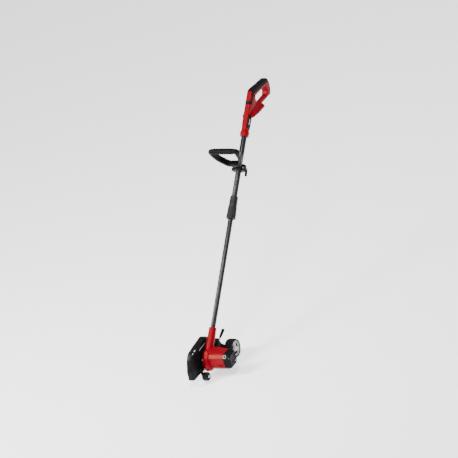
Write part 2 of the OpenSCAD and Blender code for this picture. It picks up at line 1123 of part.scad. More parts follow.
module guard_screw(y, z) {
    rod(guard_in - guard_wall - 2.5, guard_in - guard_wall, y, z, 4);
    rod(guard_in - guard_wall - 0.1, -10, y, z, 1.8);
}

module guard_screws() {
    color("silver")
        placed() {
            for (a = [90, 210, 330])
                guard_screw(spindle_y + guard_screw_ring * cos(a), spindle_z + guard_screw_ring * sin(a));
            for (s = concat(bracket_screws, quadrant_screws))
                guard_screw(s[0], s[1]);
        }
}

module roller_bracket() {
    color("dimgray")
        placed()
            difference() {
                union() {
                    side(guard_in, guard_in + 2.9)
                        union() {
                            hull() {
                                translate([roller_y, roller_z])
                                    circle(r = 9);
                                translate([-61, 53])
                                    circle(r = 8);
                            }
                            hull() {
                                translate([-61, 53])
                                    circle(r = 8);
                                translate([-73, 67])
                                    circle(r = 8);
                            }
                        }
                    for (s = bracket_screws)
                        rod(guard_in, -9, s[0], s[1], 4.5);
                }
                rod(-30, -15, roller_y, roller_z, 4 + seat_gap);
                for (s = bracket_screws)
                    rod(-30, -9.9, s[0], s[1], 1.8 + seat_gap);
            }
}

module front_roller() {
    color("dimgray")
        placed()
            difference() {
                rod(roller_x, roller_x + roller_w, roller_y, roller_z, roller_d / 2);
                rod(roller_x - 1, roller_x + roller_w + 1, roller_y, roller_z, 4 + run_gap);
                ring(roller_x + roller_w - 3, roller_x + roller_w + 1, roller_y, roller_z, 15.5, 8.5);
                for (k = [0 : 2])
                    ring(roller_x + 5 + 7 * k, roller_x + 6.5 + 7 * k, roller_y, roller_z, 25, 18.7);
            }
}

module roller_axle() {
    color("silver")
        placed() {
            rod(guard_in, roller_x + roller_w + 0.9, roller_y, roller_z, 4);
            rod(roller_x + roller_w + 0.8, roller_x + roller_w + 3, roller_y, roller_z, 6.5);
        }
}

module depth_quadrant() {
    color("dimgray")
        placed()
            difference() {
                union() {
                    side(guard_in, 0)
                        polygon([[77, 79], [77, 114], [85, 122], [104, 122], [111, 115], [111, 79]]);
                }
                side(guard_in + 3, -4)
                    polygon([[108.5, 82], [108.5, 108], [98, 108], [98, 103], [84, 103], [84, 94],
                        [88, 82]]);
                rod(-30, 5, pivot_y, pivot_z, 5 + run_gap);
                rod(-14, 5, pivot_y - 9.9, pivot_z + 9.9, 2.5 + seat_gap);
                for (s = quadrant_screws)
                    rod(-30, -9.9, s[0], s[1], 1.8 + seat_gap);
            }
}

module detent_plunger() {
    color("silver")
        placed() {
            rod(-13.8, 0.2, pivot_y - 9.9, pivot_z + 9.9, 2.5);
            rod(0.1, 0.6, pivot_y - 9.9, pivot_z + 9.9, 1.6);
        }
}

module wheel_arm() {
    color("dimgray")
        placed()
            difference() {
                union() {
                    side(1, 5)
                        union() {
                            translate([pivot_y, pivot_z])
                                circle(r = 18);
                            hull() {
                                translate([pivot_y, pivot_z])
                                    circle(r = 12);
                                translate([wheel_y, wheel_z])
                                    circle(r = 9);
                            }
                        }
                    rod(4, wheel_x - 0.4, wheel_y, wheel_z, 7);
                    rod(-23.5, 8.1, pivot_y, pivot_z, 5);
                }
                rod(0, 20, wheel_y, wheel_z, 4 + seat_gap);
                for (a = [111, 123, 135])
                    rod(0, 6, pivot_y + 14 * cos(a), pivot_z + 14 * sin(a), 1.9);
            }
}

module depth_lever() {
    slope = atan2(lever_tip[1] - lever_knee[1], lever_tip[0] - lever_knee[0]);
    color("dimgray")
        placed() {
            difference() {
                side(5.1, 8.1)
                    hull() {
                        translate([pivot_y, pivot_z])
                            circle(r = 9);
                        translate(lever_knee)
                            circle(r = 5);
                    }
                rod(4, 10, pivot_y, pivot_z, 5 + seat_gap);
            }
            translate([6.6, lever_knee[0], lever_knee[1]])
                rotate([slope, 0, 0])
                    rotate([-90, 0, 0])
                        cylinder(h = 58, r = 3.6);
        }
}

module lever_grip() {
    slope = atan2(lever_tip[1] - lever_knee[1], lever_tip[0] - lever_knee[0]);
    color("black")
        placed()
            translate([6.6, lever_knee[0], lever_knee[1]])
                rotate([slope, 0, 0])
                    rotate([-90, 0, 0])
                        translate([0, 0, 18])
                            difference() {
                                cylinder(h = 46, r = 6.2);
                                translate([0, 0, -1])
                                    cylinder(h = 41.2, r = 3.6 + seat_gap);
                            }
}

module wheel_tyre() {
    color("black")
        placed()
            translate([wheel_x, wheel_y, wheel_z])
                rotate([0, 90, 0])
                    difference() {
                        rotate_extrude($fn = 96)
                            polygon([
                                [34.02, 1], [38, 0], [40.5, 1.2], [wheel_z, 4.5],
                                [wheel_z, wheel_w - 4.5], [40.5, wheel_w - 1.2], [38, wheel_w],
                                [34.02, wheel_w - 1]
                            ]);
                        for (z = [12, 20, 28])
                            translate([0, 0, z - 0.8])
                                difference() {
                                    cylinder(h = 1.6, r = 50);
                                    translate([0, 0, -1])
                                        cylinder(h = 4, r = wheel_z - 1.6);
                                }
                    }
}

module wheel_hub() {
    face = wheel_x + wheel_w - 4;
    color("silver")
        placed()
            difference() {
                union() {
                    ring(wheel_x + 1.5, wheel_x + wheel_w - 1.5, wheel_y, wheel_z, 34, 31);
                    rod(wheel_x, wheel_x + wheel_w - 2, wheel_y, wheel_z, 10);
                    difference() {
                        rod(face - 4, face, wheel_y, wheel_z, 31.5);
                        for (k = [0 : 2])
                            side(face - 5, face + 1)
                                translate([wheel_y, wheel_z])
                                    rotate(120 * k + 60)
                                        polygon([[15, -3], [27, -15], [30, -6], [30, 6], [27, 15], [15, 3]]);
                    }
                }
                rod(0, 60, wheel_y, wheel_z, 4 + run_gap);
            }
}

module wheel_axle() {
    color("silver")
        placed() {
            rod(0.6, wheel_x + wheel_w - 1.6, wheel_y, wheel_z, 4);
            rod(wheel_x + wheel_w - 1.7, wheel_x + wheel_w + 1, wheel_y, wheel_z, 7.5);
        }
}

handle_shell_left();
handle_shell_right();
grip_overmould();
label_plate();
handle_screws();
battery_dock();
battery_terminals();
trigger_switch();
control_board();
trigger_spring();
lock_spring();
upper_tube();
tube_collar();
cable_upper();
cable_coil();
coupling_body();
collet();
trigger();
lock_off_button();
lock_sleeve();
aux_loop();
aux_grip();
aux_clamp_cap();
aux_clamp_bolts();
quick_lever();
lower_tube();
cable_lower();
gearcase_shell();
motor_housing();
motor_end_cap();
head_screws();
motor_can();
motor_magnets();
brush_holder();
brushes();
motor_bearings();
armature();
commutator();
motor_shaft();
pinion();
cooling_fan();
spindle();
spindle_gear();
spindle_bearings();
inner_flange();
blade();
blade_nut();
guard();
guard_screws();
roller_bracket();
front_roller();
roller_axle();
wheel_arm();
depth_lever();
lever_grip();
wheel_tyre();
wheel_hub();
wheel_axle();
depth_quadrant();
detent_plunger();
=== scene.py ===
import bpy
import bmesh
import json
import math
from mathutils import Matrix, Vector

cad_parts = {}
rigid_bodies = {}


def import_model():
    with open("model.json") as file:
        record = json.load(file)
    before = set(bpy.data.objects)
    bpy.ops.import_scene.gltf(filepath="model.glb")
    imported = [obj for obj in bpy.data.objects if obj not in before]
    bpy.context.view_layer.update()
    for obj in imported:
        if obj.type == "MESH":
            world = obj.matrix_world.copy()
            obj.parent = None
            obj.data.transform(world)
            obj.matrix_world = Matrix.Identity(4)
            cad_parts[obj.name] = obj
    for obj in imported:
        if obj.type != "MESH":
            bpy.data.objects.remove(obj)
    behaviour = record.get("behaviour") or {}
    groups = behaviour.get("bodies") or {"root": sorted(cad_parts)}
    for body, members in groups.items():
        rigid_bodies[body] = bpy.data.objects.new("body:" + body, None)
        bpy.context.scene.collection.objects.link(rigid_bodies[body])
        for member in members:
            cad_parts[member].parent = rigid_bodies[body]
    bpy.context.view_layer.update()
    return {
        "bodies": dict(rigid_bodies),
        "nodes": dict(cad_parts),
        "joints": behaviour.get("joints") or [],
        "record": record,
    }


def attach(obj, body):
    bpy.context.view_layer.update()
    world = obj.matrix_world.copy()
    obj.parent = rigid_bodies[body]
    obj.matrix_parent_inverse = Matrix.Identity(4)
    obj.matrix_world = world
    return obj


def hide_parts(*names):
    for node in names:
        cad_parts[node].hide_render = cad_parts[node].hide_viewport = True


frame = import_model()

# ---------------------------------------------------------------- places, in millimetres
# The tool's own millimetres have X = 0 on the shaft, Y = 0 on the motor axis and Z = 0 on the ground.

MM = 0.001
JOINTS = {j["name"]: j for j in frame["joints"]}
MOTOR_Z = 82
ORIGIN = Vector(JOINTS["rotor_spin"]["pos_m"]) - Vector((0, 0, MOTOR_Z * MM))
TO_ROW = Matrix.Translation(ORIGIN) @ Matrix.Scale(MM, 4)
SHAFT_DIR = Vector(JOINTS["shaft_telescope"]["axis"]).normalized()
SHAFT_N = Vector((0, SHAFT_DIR.z, -SHAFT_DIR.y))
SHAFT_FOOT = Vector((0, -13.4, 89.7))
FLAT = Matrix.Identity(4)


def to_row(v):
    return ORIGIN + Vector(v) * MM


def p(t, n=0.0):
    """A side-view point, given along the shaft and towards the user's side of it."""
    v = SHAFT_FOOT + SHAFT_DIR * t + SHAFT_N * n
    return (v.y, v.z)


def on_shaft(t):
    """Local Z along the shaft, local Y on the user's side."""
    turn = Matrix(((1, 0, 0), SHAFT_N, SHAFT_DIR)).transposed().to_4x4()
    return Matrix.Translation(SHAFT_FOOT + SHAFT_DIR * t) @ turn


def across(y, z, x=0.0):
    """Local Z along the tool's X, local X along its Y."""
    return Matrix(((0, 0, 1, x), (1, 0, 0, y), (0, 1, 0, z), (0, 0, 0, 1)))


# ---------------------------------------------------------------- mesh helpers


def link(name, data):
    """A new object in the scene that holds data."""
    obj = bpy.data.objects.new(name, data)
    bpy.context.scene.collection.objects.link(obj)
    return obj


def as_object(bm):
    bmesh.ops.recalc_face_normals(bm, faces=bm.faces[:])
    mesh = bpy.data.meshes.new("work")
    bm.to_mesh(mesh)
    bm.free()
    return link("work", mesh)


def bake(obj):
    """Applies obj's modifiers to its mesh."""
    graph = bpy.context.evaluated_depsgraph_get()
    mesh = bpy.data.meshes.new_from_object(obj.evaluated_get(graph))
    obj.modifiers.clear()
    obj.data = mesh
    return obj


def modify(obj, kind, **settings):
    modifier = obj.modifiers.new(kind.lower(), kind)
    for key, value in settings.items():
        setattr(modifier, key, value)
    return bake(obj)


def melt(obj, voxel, rounds):
    """One skin over everything in obj, with its edges smoothed."""
    modify(obj, "REMESH", mode="VOXEL", voxel_size=voxel)
    return modify(obj, "SMOOTH", factor=0.5, iterations=rounds)


def boolean(obj, operation, tools):
    for tool in tools:
        modify(obj, "BOOLEAN", operation=operation, object=tool, solver="MANIFOLD")
        bpy.data.objects.remove(tool)
    return obj


def cut(obj, *tools):
    return boolean(obj, "DIFFERENCE", tools)


def keep(obj, *tools):
    return boolean(obj, "INTERSECT", tools)


def add(obj, *tools):
    return boolean(obj, "UNION", tools)


def joined(*objs):
    """One mesh that holds several; they may overlap, for melt() to unite."""
    bm = bmesh.new()
    for obj in objs:
        bm.from_mesh(obj.data)
        bpy.data.objects.remove(obj)
    mesh = bpy.data.meshes.new("joined")
    bm.to_mesh(mesh)
    bm.free()
    return link("joined", mesh)


def copy_of(obj):
    return link(obj.name + "_copy", obj.data.copy())


def reshape(obj, move):
    """Moves each point of obj to move(point)."""
    for v in obj.data.vertices:
        v.co = move(v.co)
    return obj


def smoothstep(a, b, x):
    s = min(max((x - a) / (b - a), 0), 1)
    return s * s * (3 - 2 * s)


def fillet(points, radius, steps=5):
    """Rounds the corners of an outline; a corner's third value is its own radius."""
    out = []
    count = len(points)
    for i, corner in enumerate(points):
        here = Vector(corner[:2])
        a = Vector(points[i - 1][:2]) - here
        b = Vector(points[(i + 1) % count][:2]) - here
        own = corner[2] if len(corner) > 2 else radius
        angle = a.angle(b)
        reach = min(own / math.tan(angle / 2), 0.49 * a.length, 0.49 * b.length) if own else 0
        if reach < 0.02 or angle > math.pi - 0.02:
            out.append(tuple(here))
            continue
        own = reach * math.tan(angle / 2)
        middle = here + (a.normalized() + b.normalized()).normalized() * own / math.sin(angle / 2)
        s = here + a.normalized() * reach - middle
        e = here + b.normalized() * reach - middle
        start = math.atan2(s.y, s.x)
        sweep_by = (math.atan2(e.y, e.x) - start + math.pi) % math.tau - math.pi
        for k in range(steps + 1):
            turn = start + sweep_by * k / steps
            out.append((middle.x + own * math.cos(turn), middle.y + own * math.sin(turn)))
    return out


def inset(points, by):
    """An outline's edges moved inwards, with the same number of points, whichever way it runs round."""
    area = sum(a[0] * b[1] - b[0] * a[1] for a, b in zip(points, points[1:] + points[:1]))
    side = 1 if area > 0 else -1
    out = []
    count = len(points)
    for i, corner in enumerate(points):
        here = Vector(corner[:2])
        before = (here - Vector(points[i - 1][:2])).normalized()
        after = (Vector(points[(i + 1) % count][:2]) - here).normalized()
        n1 = Vector((-before.y, before.x)) * side
        n2 = Vector((-after.y, after.x)) * side
        out.append(tuple(here + (n1 + n2) * by / (1 + n1.dot(n2))))
    return out


def hull(circles, steps=28):
    """The outline round some circles given as (y, z, radius)."""
    points = sorted(
        (y + r * math.cos(math.tau * k / steps), z + r * math.sin(math.tau * k / steps))
        for y, z, r in circles
        for k in range(steps)
    )
    halves = []
    for run in (points, points[::-1]):
        half = []
        for q in run:
            while len(half) > 1 and turn_of(half[-2], half[-1], q) <= 1e-9:
                half.pop()
            half.append(q)
        halves += half[:-1]
    return halves


def turn_of(a, b, c):
    return (b[0] - a[0]) * (c[1] - a[1]) - (b[1] - a[1]) * (c[0] - a[0])


def prism(outline, x0, x1, frame=FLAT):
    """A side-view outline in Y and Z, extruded from x0 to x1."""
    bm = bmesh.new()
    verts = [bm.verts.new((x0, q[0], q[1])) for q in outline]
    edges = [bm.edges.new(pair) for pair in zip(verts, verts[1:] + verts[:1])]
    bmesh.ops.triangle_fill(bm, use_beauty=True, use_dissolve=True, edges=edges)
    grown = bmesh.ops.extrude_face_region(bm, geom=bm.faces[:])["geom"]
    moved = [g for g in grown if isinstance(g, bmesh.types.BMVert)]
    bmesh.ops.translate(bm, verts=moved, vec=(x1 - x0, 0, 0))
    bmesh.ops.transform(bm, matrix=frame, verts=bm.verts[:])
    return as_object(bm)


def block(lo, hi, frame=FLAT):
    outline = [(lo[1], lo[2]), (hi[1], lo[2]), (hi[1], hi[2]), (lo[1], hi[2])]
    return prism(outline, lo[0], hi[0], frame=frame)


def loft(rings, closed=False):
    """A skin through rings of 3-D points, each with the same number of points, capped at both ends."""
    bm = bmesh.new()
    made = [[bm.verts.new(q) for q in ring] for ring in rings]
    pairs = list(zip(made, made[1:]))
    if closed:
        pairs.append((made[-1], made[0]))
    for a, b in pairs:
        for i in range(len(a)):
            j = (i + 1) % len(a)
            bm.faces.new((a[i], a[j], b[j], b[i]))
    if not closed:
        bm.faces.new(made[0])
        bm.faces.new(made[-1])
    return as_object(bm)


def side_loft(layers):
    """A loft of side-view outlines, each given as (x, outline)."""
    return loft([[(x, q[0], q[1]) for q in outline] for x, outline in layers])


def lathe(profile, frame=FLAT, segments=64, wave=None):
    """A closed (radius, height) profile turned about local Z; wave may change the radius round the turn."""
    bm = bmesh.new()
    poles = {i: bm.verts.new(frame @ Vector((0, 0, z))) for i, (r, z) in enumerate(profile) if r < 1e-6}
    rings = []
    for j in range(segments):
        a = math.tau * j / segments
        ring = []
        for i, (r, z) in enumerate(profile):
            reach = wave(r, z, a) if wave else r
            at = Vector((reach * math.cos(a), reach * math.sin(a), z))
            ring.append(poles[i] if i in poles else bm.verts.new(frame @ at))
        rings.append(ring)
    count = len(profile)
    for j in range(segments):
        a, b = rings[j], rings[(j + 1) % segments]
        for i in range(count):
            k = (i + 1) % count
            corners = list(dict.fromkeys((a[i], a[k], b[k], b[i])))
            if len(corners) > 2:
                bm.faces.new(corners)
    bmesh.ops.remove_doubles(bm, verts=bm.verts[:], dist=1e-5)
    return as_object(bm)


def sweep(path, section, ref, closed=False, frame=FLAT):
    """Outlines swept along a path: section(i) gives (u, v) points at path point i, and v runs along ref."""
    rings = []
    last = len(path) - 1
    ref = Vector(ref)
    for i, point in enumerate(path):
        ahead = path[(i + 1) % (last + 1)] if closed or i < last else path[i]
        behind = path[i - 1] if closed or i > 0 else path[i]
        d = (Vector(ahead) - Vector(behind)).normalized()
        u = d.cross(ref).normalized()
        v = u.cross(d)
        rings.append([frame @ (Vector(point) + u * a + v * b) for a, b in section(i)])
    return loft(rings, closed)


def oval(half_w, half_h, power=2.0, sides=32):
    """A rounded outline: power 2 is an ellipse, and more is squarer."""
    out = []
    for k in range(sides):
        c, s = math.cos(math.tau * k / sides), math.sin(math.tau * k / sides)
        out.append((
            half_w * math.copysign(abs(c) ** (2 / power), c),
            half_h * math.copysign(abs(s) ** (2 / power), s),
        ))
    return out


def bent(corners, radius, steps=7):
    """A closed path of 3-D points with its corners rounded."""
    out = []
    count = len(corners)
    for i, corner in enumerate(corners):
        here = Vector(corner)
        a = (Vector(corners[i - 1]) - here).normalized()
        b = (Vector(corners[(i + 1) % count]) - here).normalized()
        s, e = here + a * radius, here + b * radius
        for k in range(steps + 1):
            f = k / steps
            out.append(s * (1 - f) ** 2 + here * 2 * f * (1 - f) + e * f * f)
    return out


def along(path, gap):
    """A closed path again, with points no further apart than gap."""
    out = []
    for a, b in zip(path, path[1:] + path[:1]):
        steps = max(1, math.ceil((b - a).length / gap))
        out += [a.lerp(b, k / steps) for k in range(steps)]
    return out


def rod(x0, x1, y, z, r, edge=0.5, segments=48):
    """A round bar along X with rounded rims."""
    profile = fillet([(0, x0, 0), (r, x0), (r, x1), (0, x1, 0)], edge, 3)
    return lathe(profile, across(y, z), segments)


def bore(obj, x0, x1, y, z, r, segments=48):
    """A hole along X, with square ends."""
    return cut(obj, rod(x0, x1, y, z, r, 0, segments))


def tube(t0, t1, r_out, r_in, edge=0.3, segments=72):
    """A round tube along the shaft."""
    profile = fillet([(r_in, t0), (r_out, t0), (r_out, t1), (r_in, t1)], edge, 2)
    return lathe(profile, on_shaft(0), segments)


def ring(x0, x1, y, z, r_out, r_in, edge=0.4, segments=64):
    profile = fillet([(r_in, x0), (r_out, x0), (r_out, x1), (r_in, x1)], edge, 2)
    return lathe(profile, across(y, z), segments)


def drill(frame, r, z0, z1, segments=64):
    """A plain round bar along a frame's local Z, mostly to cut a bore."""
    return lathe([(0, z0), (r, z0), (r, z1), (0, z1)], frame, segments)


def hexagon(r):
    return [(r * math.cos(math.tau * k / 6), r * math.sin(math.tau * k / 6)) for k in range(6)]


def shift(x, y, z):
    return Matrix.Translation((x, y, z))


def about(axis, turn=math.pi / 2):
    return Matrix.Rotation(turn, 4, axis)


def screw(frame, head_r, head_h, shank_r, length, socket_r):
    """A pan-head screw with a hexagon socket. Local Z points out of the head, which sits on z = 0."""
    profile = fillet([
        (0, -length, 0), (shank_r * 0.5, -length, 0), (shank_r, 1.5 - length, 0), (shank_r, 0, 0),
        (head_r, 0, 0.3), (head_r, head_h, head_h * 0.7), (0, head_h, 0)
    ], 0.3, 4)
    body = lathe(profile, frame, 32)
    levels = (head_h * 0.35, head_h + 1)
    socket = loft([[frame @ Vector((a, b, z)) for a, b in hexagon(socket_r)] for z in levels])
    return cut(body, socket)


def show(obj, name, body, slot, paint, *nodes, angle=38):
    """Names a finished piece, moves it into the frame, puts it on the body it rides on and hides the CAD
    nodes it stands for.
    """
    bm = bmesh.new()
    bm.from_mesh(obj.data)
    bmesh.ops.dissolve_degenerate(bm, dist=1e-5, edges=bm.edges[:])
    bm.to_mesh(obj.data)
    bm.free()
    mesh = obj.data
    mesh.transform(TO_ROW)
    mesh.shade_smooth()
    mesh.set_sharp_from_angle(angle=math.radians(angle))
    obj.name = mesh.name = name
    mesh.materials.clear()
    mesh.materials.append(paint)
    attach(obj, body)
    if nodes:
        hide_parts(*nodes)
    return obj


# ---------------------------------------------------------------- materials


def node(tree, kind, inputs=None, **settings):
    made = tree.nodes.new(kind)
    for key, value in settings.items():
        setattr(made, key, value)
    for key, value in (inputs or {}).items():
        made.inputs[key].default_value = value
    return made


def noise(tree, place, scale, detail=3, stretch=(1, 1, 1)):
    mapping = node(tree, "ShaderNodeMapping", {"Scale": stretch})
    tree.links.new(place.outputs["Object"], mapping.inputs["Vector"])
    made = node(tree, "ShaderNodeTexNoise", {"Scale": scale, "Detail": detail, "Roughness": 0.55})
    tree.links.new(mapping.outputs["Vector"], made.inputs["Vector"])
    return made.outputs["Fac"]


def ranged(tree, value, low, high, out_low, out_high):
    made = node(tree, "ShaderNodeMapRange", {
        "From Min": low, "From Max": high, "To Min": out_low, "To Max": out_high
    })
    tree.links.new(value, made.inputs["Value"])
    return made.outputs["Result"]


def mixed(tree, factor, a, b):
    made = node(tree, "ShaderNodeMix", data_type="RGBA")
    tree.links.new(factor, made.inputs["Factor"])
    for socket, value in ((made.inputs[6], a), (made.inputs[7], b)):
        if isinstance(value, tuple):
            socket.default_value = (*value, 1)
        else:
            tree.links.new(value, socket)
    return made.outputs[2]


def paint(name, color, rough, metallic=0.0, tone=0.12, grain=1400, bump=0.12, depth=0.00012,
          edge=0.25, edge_color=None, stretch=(1, 1, 1), dust=0.0, coat=0.0, specular=0.5, sheen=(1, 1, 1)):
    """A material: colour that varies a little, a fine grained surface, worn edges and settled dust."""
    material = bpy.data.materials.new(name)
    material.use_nodes = True
    tree = material.node_tree
    shader = tree.nodes["Principled BSDF"]
    shader.inputs["Metallic"].default_value = metallic
    shader.inputs["Coat Weight"].default_value = coat
    shader.inputs["Specular IOR Level"].default_value = specular
    shader.inputs["Specular Tint"].default_value = (*sheen, 1)
    place = node(tree, "ShaderNodeTexCoord")
    patches = noise(tree, place, 38, 4, stretch)
    dark = tuple(c * (1 - tone) for c in color)
    light = tuple(min(1, c * (1 + tone)) for c in color)
    tint = mixed(tree, ranged(tree, patches, 0.35, 0.65, 0, 1), dark, light)
    geometry = node(tree, "ShaderNodeNewGeometry")
    worn = ranged(tree, geometry.outputs["Pointiness"], 0.505, 0.56, 0, edge)
    edge_color = edge_color or tuple(min(1, c * 1.5 + 0.05) for c in color)
    tint = mixed(tree, worn, tint, edge_color)
    if dust:
        settled = ranged(tree, noise(tree, place, 90, 6), 0.48, 0.72, 0, dust)
        tint = mixed(tree, settled, tint, (0.17, 0.14, 0.105))
    tree.links.new(tint, shader.inputs["Base Color"])
    uneven = noise(tree, place, 160, 3, stretch)
    tree.links.new(ranged(tree, uneven, 0.3, 0.7, rough - 0.06, rough + 0.07), shader.inputs["Roughness"])
    fine = node(tree, "ShaderNodeBump", {"Strength": bump, "Distance": depth})
    tree.links.new(noise(tree, place, grain, 2, stretch), fine.inputs["Height"])
    tree.links.new(fine.outputs["Normal"], shader.inputs["Normal"])
    return material


RED = paint("red_plastic", (0.19, 0.0, 0.007), 0.32, tone=0.05, grain=2600, bump=0.08, edge=0.18,
            edge_color=(0.42, 0.012, 0.008), specular=0.16, sheen=(1, 0.3, 0.16))
SOFT = paint("soft_black", (0.002, 0.002, 0.0023), 0.6, tone=0.2, grain=1500, bump=0.45, edge=0.08,
             edge_color=(0.01, 0.01, 0.01), specular=0.1)
BLACK = paint("black_plastic", (0.003, 0.003, 0.0035), 0.38, tone=0.2, grain=1900, bump=0.3, edge=0.12,
              edge_color=(0.015, 0.015, 0.016), specular=0.08)
GUARD = paint("guard_plastic", (0.0035, 0.0035, 0.004), 0.4, tone=0.2, grain=1500, bump=0.35, edge=0.2,
              edge_color=(0.03, 0.03, 0.031), dust=0.02, specular=0.08)
LABEL = paint("label", (0.002, 0.002, 0.0023), 0.3, specular=0.1, tone=0.1, bump=0.02, edge=0)
PRINT = paint("print", (0.7, 0.7, 0.7), 0.5, tone=0.05, bump=0.05, edge=0)
TUBE = paint("tube_paint", (0.022, 0.021, 0.024), 0.3, metallic=0.7, tone=0.05, grain=2200, bump=0.06,
             edge=0.2, specular=0.2)
SLEEVE = paint("sleeve_plastic", (0.008, 0.0078, 0.0086), 0.4, tone=0.15, grain=1800, bump=0.3,
               edge=0.3, edge_color=(0.04, 0.04, 0.04), specular=0.2)
STEEL = paint("steel", (0.55, 0.55, 0.57), 0.32, metallic=1.0, tone=0.08, grain=900, bump=0.08, edge=0.2)
BLADE = paint("blade_steel", (0.42, 0.42, 0.43), 0.36, metallic=1.0, tone=0.12, grain=700, bump=0.15,
              edge=0.4, stretch=(1, 0.06, 1), dust=0.12)
ARM = paint("arm_steel", (0.005, 0.005, 0.0055), 0.36, tone=0.15, grain=1300, bump=0.2, edge=0.3,
            edge_color=(0.03, 0.03, 0.03), specular=0.2)
BRASS = paint("contact_brass", (0.72, 0.48, 0.2), 0.3, metallic=1.0, tone=0.08, bump=0.06, edge=0.2)
COPPER = paint("commutator_copper", (0.8, 0.36, 0.2), 0.28, metallic=1.0, tone=0.1, bump=0.06, edge=0.2,
               stretch=(1, 1, 6))
WINDING = paint("winding_copper", (0.62, 0.2, 0.07), 0.35, metallic=0.9, tone=0.2, grain=600, bump=0.8,
                stretch=(0.1, 1, 1))
FERRITE = paint("ferrite", (0.05, 0.05, 0.052), 0.55, tone=0.15, grain=900, bump=0.3)
CARBON = paint("carbon", (0.02, 0.02, 0.021), 0.5, metallic=0.2, tone=0.2, grain=1200, bump=0.25)
BOARD = paint("board_green", (0.012, 0.1, 0.03), 0.35, tone=0.15, grain=500, bump=0.15, coat=0.3)
NYLON = paint("nylon", (0.62, 0.6, 0.54), 0.42, tone=0.06, grain=1500, bump=0.1)
CABLE = paint("cable_black", (0.006, 0.006, 0.0065), 0.48, specular=0.15, tone=0.15, grain=1200, bump=0.2)
ROLLER_PAINT = paint("roller_rubber", (0.004, 0.004, 0.0043), 0.5, specular=0.14, tone=0.2, grain=1300,
                     bump=0.35, dust=0.06)
TYRE = paint("tyre_rubber", (0.004, 0.004, 0.0043), 0.55, specular=0.12, tone=0.2, grain=1100,
             bump=0.45, dust=0.05)
HUB = paint("hub_grey", (0.25, 0.252, 0.26), 0.4, tone=0.05, grain=1700, bump=0.15, edge=0.2,
            edge_color=(0.75, 0.75, 0.76))
CAD_PAINT = {
    "red_plastic": RED, "soft_black": SOFT, "black_plastic": BLACK, "guard_plastic": GUARD, "label": LABEL,
    "tube_paint": TUBE, "steel": STEEL, "blade_steel": BLADE, "arm_steel": ARM, "contact_brass": BRASS,
    "commutator_copper": COPPER, "winding_copper": WINDING, "ferrite": FERRITE, "carbon": CARBON,
    "board_green": BOARD, "nylon": NYLON, "cable_black": CABLE, "roller_rubber": ROLLER_PAINT,
    "tyre_rubber": TYRE, "hub_grey": HUB
}


def paint_cad_nodes():
    """Gives every CAD node that stays in view the finish of its own material slot."""
    for part in frame["record"]["subparts"]:
        slots = frame["nodes"][part["node"]].data.materials
        slots.clear()
        slots.append(CAD_PAINT[part["material_slot"]])


paint_cad_nodes()


# ---------------------------------------------------------------- shapes that repeat


def rounding(radius, steps):
    """(depth, inset) pairs of a quarter round, from the face inwards."""
    return [
        (radius * (1 - math.cos(math.pi / 2 * k / steps)), radius * (1 - math.sin(math.pi / 2 * k / steps)))
        for k in range(steps + 1)
    ]


def pillow(outline, x0, x1, left, right=None, steps=4):
    """A side-view outline extruded from x0 to x1, with rounded rims on its left and right faces."""
    right = left if right is None else right
    layers = [(x0 + depth, inset(outline, by)) for depth, by in rounding(left, steps)]
    layers += [(x1 - depth, inset(outline, by)) for depth, by in reversed(rounding(right, steps))]
    return side_loft(layers)


def flared(outline, half, radius, steps=4):
    """The tool for a hole through to both faces at x = -half and half, with rounded rims."""
    rims = [(half - depth, inset(outline, -by)) for depth, by in rounding(radius, steps)]
    outer = (half + 2, inset(outline, -radius))
    layers = [(-x, o) for x, o in [outer, *rims]] + [(x, o) for x, o in [*reversed(rims), outer]]
    return side_loft(layers)


# ---------------------------------------------------------------- rear handle

HALF_W = 16
COLLAR_TOP = 1054
CLAMP_BORE = 12.56
HANDLE_EDGE = [
    p(1118, -17.5), (889.5, 924), (897, 929.5), (907, 930), (1036, 917), (1043, 907), (1047, 890),
    (1046, 868), (1040, 848), (1028, 836), (938, 836), (928, 832), (838, 832), p(1118, 17.5)
]
GRIP_HOLE = [
    (905, 893), (912, 895), (1008, 892), (1014, 880), (1012, 862), (1002, 850), (932, 850), (905, 868)
]
SOFT_ZONE = [
    (894, 960), (900, 938), p(1228, -14.5), p(1192, -14.5), p(1188, -16), p(1188, -25), p(1174, -25),
    p(1174, -3.5), p(1222, -3.5), (908, 909), (1024, 900), (1032, 906), (1032, 960)
]
# Y, Z and the X that the head sits on
HANDLE_SCREWS = [
    (*p(1113, -10.5), 11.6), (*p(1160, -11.5), 11.6), (*p(1206, -11.5), 11.6),
    (1031, 901, 13.2), (1034, 866, 13.2)
]


def foot_ring(z, half, front, rear):
    """The foot in plan: narrow at the front, wider where the battery slides on."""
    plan = fillet([
        (-14, front + 6), (14, front + 6), (half - 10, front), (half - 6.5, front + 10), (half, front + 50),
        (half, rear), (-half, rear), (-half, front + 50), (6.5 - half, front + 10), (10 - half, front)
    ], 3.5, 4)
    return [(x, y, z) for x, y in plan]


def handle_mass():
    loop = pillow(fillet(HANDLE_EDGE, 10), -HALF_W, HALF_W, 6)
    cut(loop, flared(fillet(GRIP_HOLE, 8), HALF_W, 6))
    stem_path = [(0, 0, t) for t in range(COLLAR_TOP, 1196, 10)]
    stem = sweep(
        stem_path,
        lambda i: oval(HALF_W - 0.2, 17.8, 3.0 + 4.0 * smoothstep(1054, 1090, stem_path[i][2]), 56),
        (0, 1, 0), frame=on_shaft(0)
    )
    foot = loft([
        foot_ring(830.2, 34.4, 821.4, 927), foot_ring(831.6, 36, 820, 928), foot_ring(839, 36, 820, 928),
        foot_ring(843, 34, 823, 928), foot_ring(862, 17, 846, 922)
    ])
    body = melt(joined(loop, stem, foot), 0.95, 5)
    return reshape(body, trimmed)


